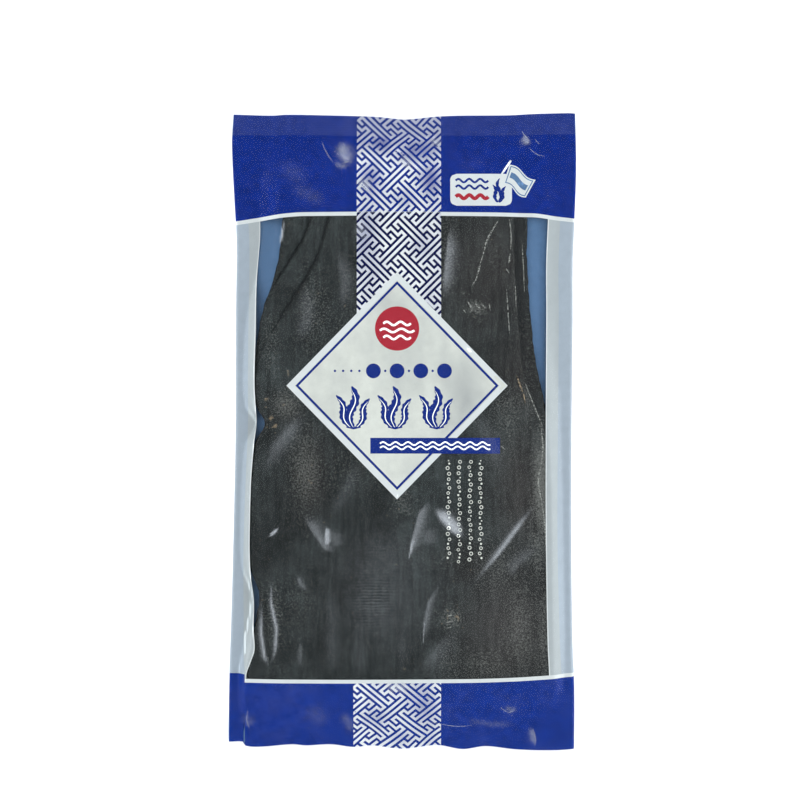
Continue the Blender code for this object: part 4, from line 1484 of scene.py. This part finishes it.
CREASE_HIGHLIGHTS = (
    (0.4, (-41.7, 150.5), (-40.6, 147.0), (-38.6, 143.0), (-36.0, 139.2)), (0.4, (-31.0, 138.6), (-28.0, 139.6)),
    (0.3, (-31.4, 150.6), (-29.8, 147.8), (-30.4, 144.4)), (0.4, (65.2, 147.2), (69.4, 143.6), (73.8, 142.4)),
    (0.3, (68.4, 151.8), (71.2, 148.6)), (0.5, (61.8, 156.2), (63.4, 153.6), (65.4, 151.2)),
    (0.5, (-63.6, -49.3), (-66.3, -52.1), (-69.0, -54.3)), (0.5, (5.0, -57.0), (4.0, -62.0), (3.2, -66.0)),
    (0.4, (11.4, -98.0), (10.9, -104.0), (10.6, -109.6)), (0.4, (-67.6, -80.0), (-67.6, -88.0), (-65.2, -100.0)),
    (0.4, (14.0, -151.4), (24.0, -153.0), (36.0, -152.6)), (0.4, (50.4, -142.4), (54.6, -145.2), (58.4, -144.2)),
    (0.4, (67.4, -154.0), (68.8, -159.0), (68.4, -163.0)), (0.4, (-80.0, -144.0), (-80.6, -150.0), (-79.2, -155.0)),
)


def stroke(knots, width):
    """Ribbon along a curve through knots in millimetres, tapered to both ends."""
    knots = np.array(knots, float)
    length = np.concatenate([[0], np.cumsum(np.hypot(*np.diff(knots, axis=0).T))])
    count = max(6, int(length[-1] / 0.8))
    at = np.linspace(0, length[-1], count)
    places = np.stack([along(np.stack([length, knots[:, k]], axis=-1), at * MM) for k in (0, 1)], axis=-1)
    t = np.linspace(0, 1, count)
    return ribbon(places, width * MM * (0.15 + 0.85 * np.sin(math.pi * t) ** 0.5))


class MakeKelp(PieceOperator, bpy.types.Operator):
    """Make the pile of dried kelp sheets, with the two upper ones stepped back at their edges"""

    bl_idname = "kelp_packet.make_kelp"
    bl_label = "Kelp Sheets"

    def build(self):
        finish = kelp_finish("dried_kelp", colours())
        fine, coarse = sizes().kelp_step, 2 * sizes().kelp_step
        sheets = (
            (KELP_LEFT, KELP_RIGHT, -134, 127, coarse), (KELP_LEFT, KELP_RIGHT, -137, 130, coarse),
            (KELP_LEFT, KELP_RIGHT, -133, 126, coarse), (KELP_LEFT, KELP_RIGHT, -136, 131, fine),
            (SECOND_LEFT, KELP_RIGHT, -135, 129, fine), (TOP_LEFT, UPPER_SHEET_RIGHT, -136.5, 130, fine),
        )
        for order, (left, right, foot, head, step) in enumerate(sheets):
            kelp_sheet(f"kelp_sheet_{order + 1}", order, left, right, foot * MM, head * MM, step, finish)


OPERATORS = (
    MakeStage, MakeKelp, MakeBackFilm, MakeFrontFilm, MakeBands, MakeMargins, MakeFret, MakeDiamond,
    MakeEmblem, MakeBlades, MakeBar, MakeBadge, MakeSalt,
)


class KelpPacketPanel(bpy.types.Panel):
    """Lists the packet's pieces, its sizes and its colours"""

    bl_idname = "VIEW3D_PT_kelp_packet"
    bl_label = "Kelp Packet"
    bl_space_type = "VIEW_3D"
    bl_region_type = "UI"
    bl_category = "Kelp Packet"

    def draw(self, context):
        column = self.layout.column(align=True)
        for operator in OPERATORS:
            column.operator(operator.bl_idname)
        for group in (context.scene.kelp_packet_sizes, context.scene.kelp_packet_colours):
            for name in group.__annotations__:
                column.prop(group, name)


CLASSES = (PacketSizes, PacketColours, *OPERATORS, KelpPacketPanel)


def register():
    for made in CLASSES:
        bpy.utils.register_class(made)
    bpy.types.Scene.kelp_packet_sizes = bpy.props.PointerProperty(type=PacketSizes)
    bpy.types.Scene.kelp_packet_colours = bpy.props.PointerProperty(type=PacketColours)


def unregister():
    del bpy.types.Scene.kelp_packet_colours
    del bpy.types.Scene.kelp_packet_sizes
    for made in reversed(CLASSES):
        bpy.utils.unregister_class(made)


def main():
    register()
    for operator in OPERATORS:
        group, name = operator.bl_idname.split(".")
        getattr(getattr(bpy.ops, group), name)()


if __name__ == "__main__":
    main()
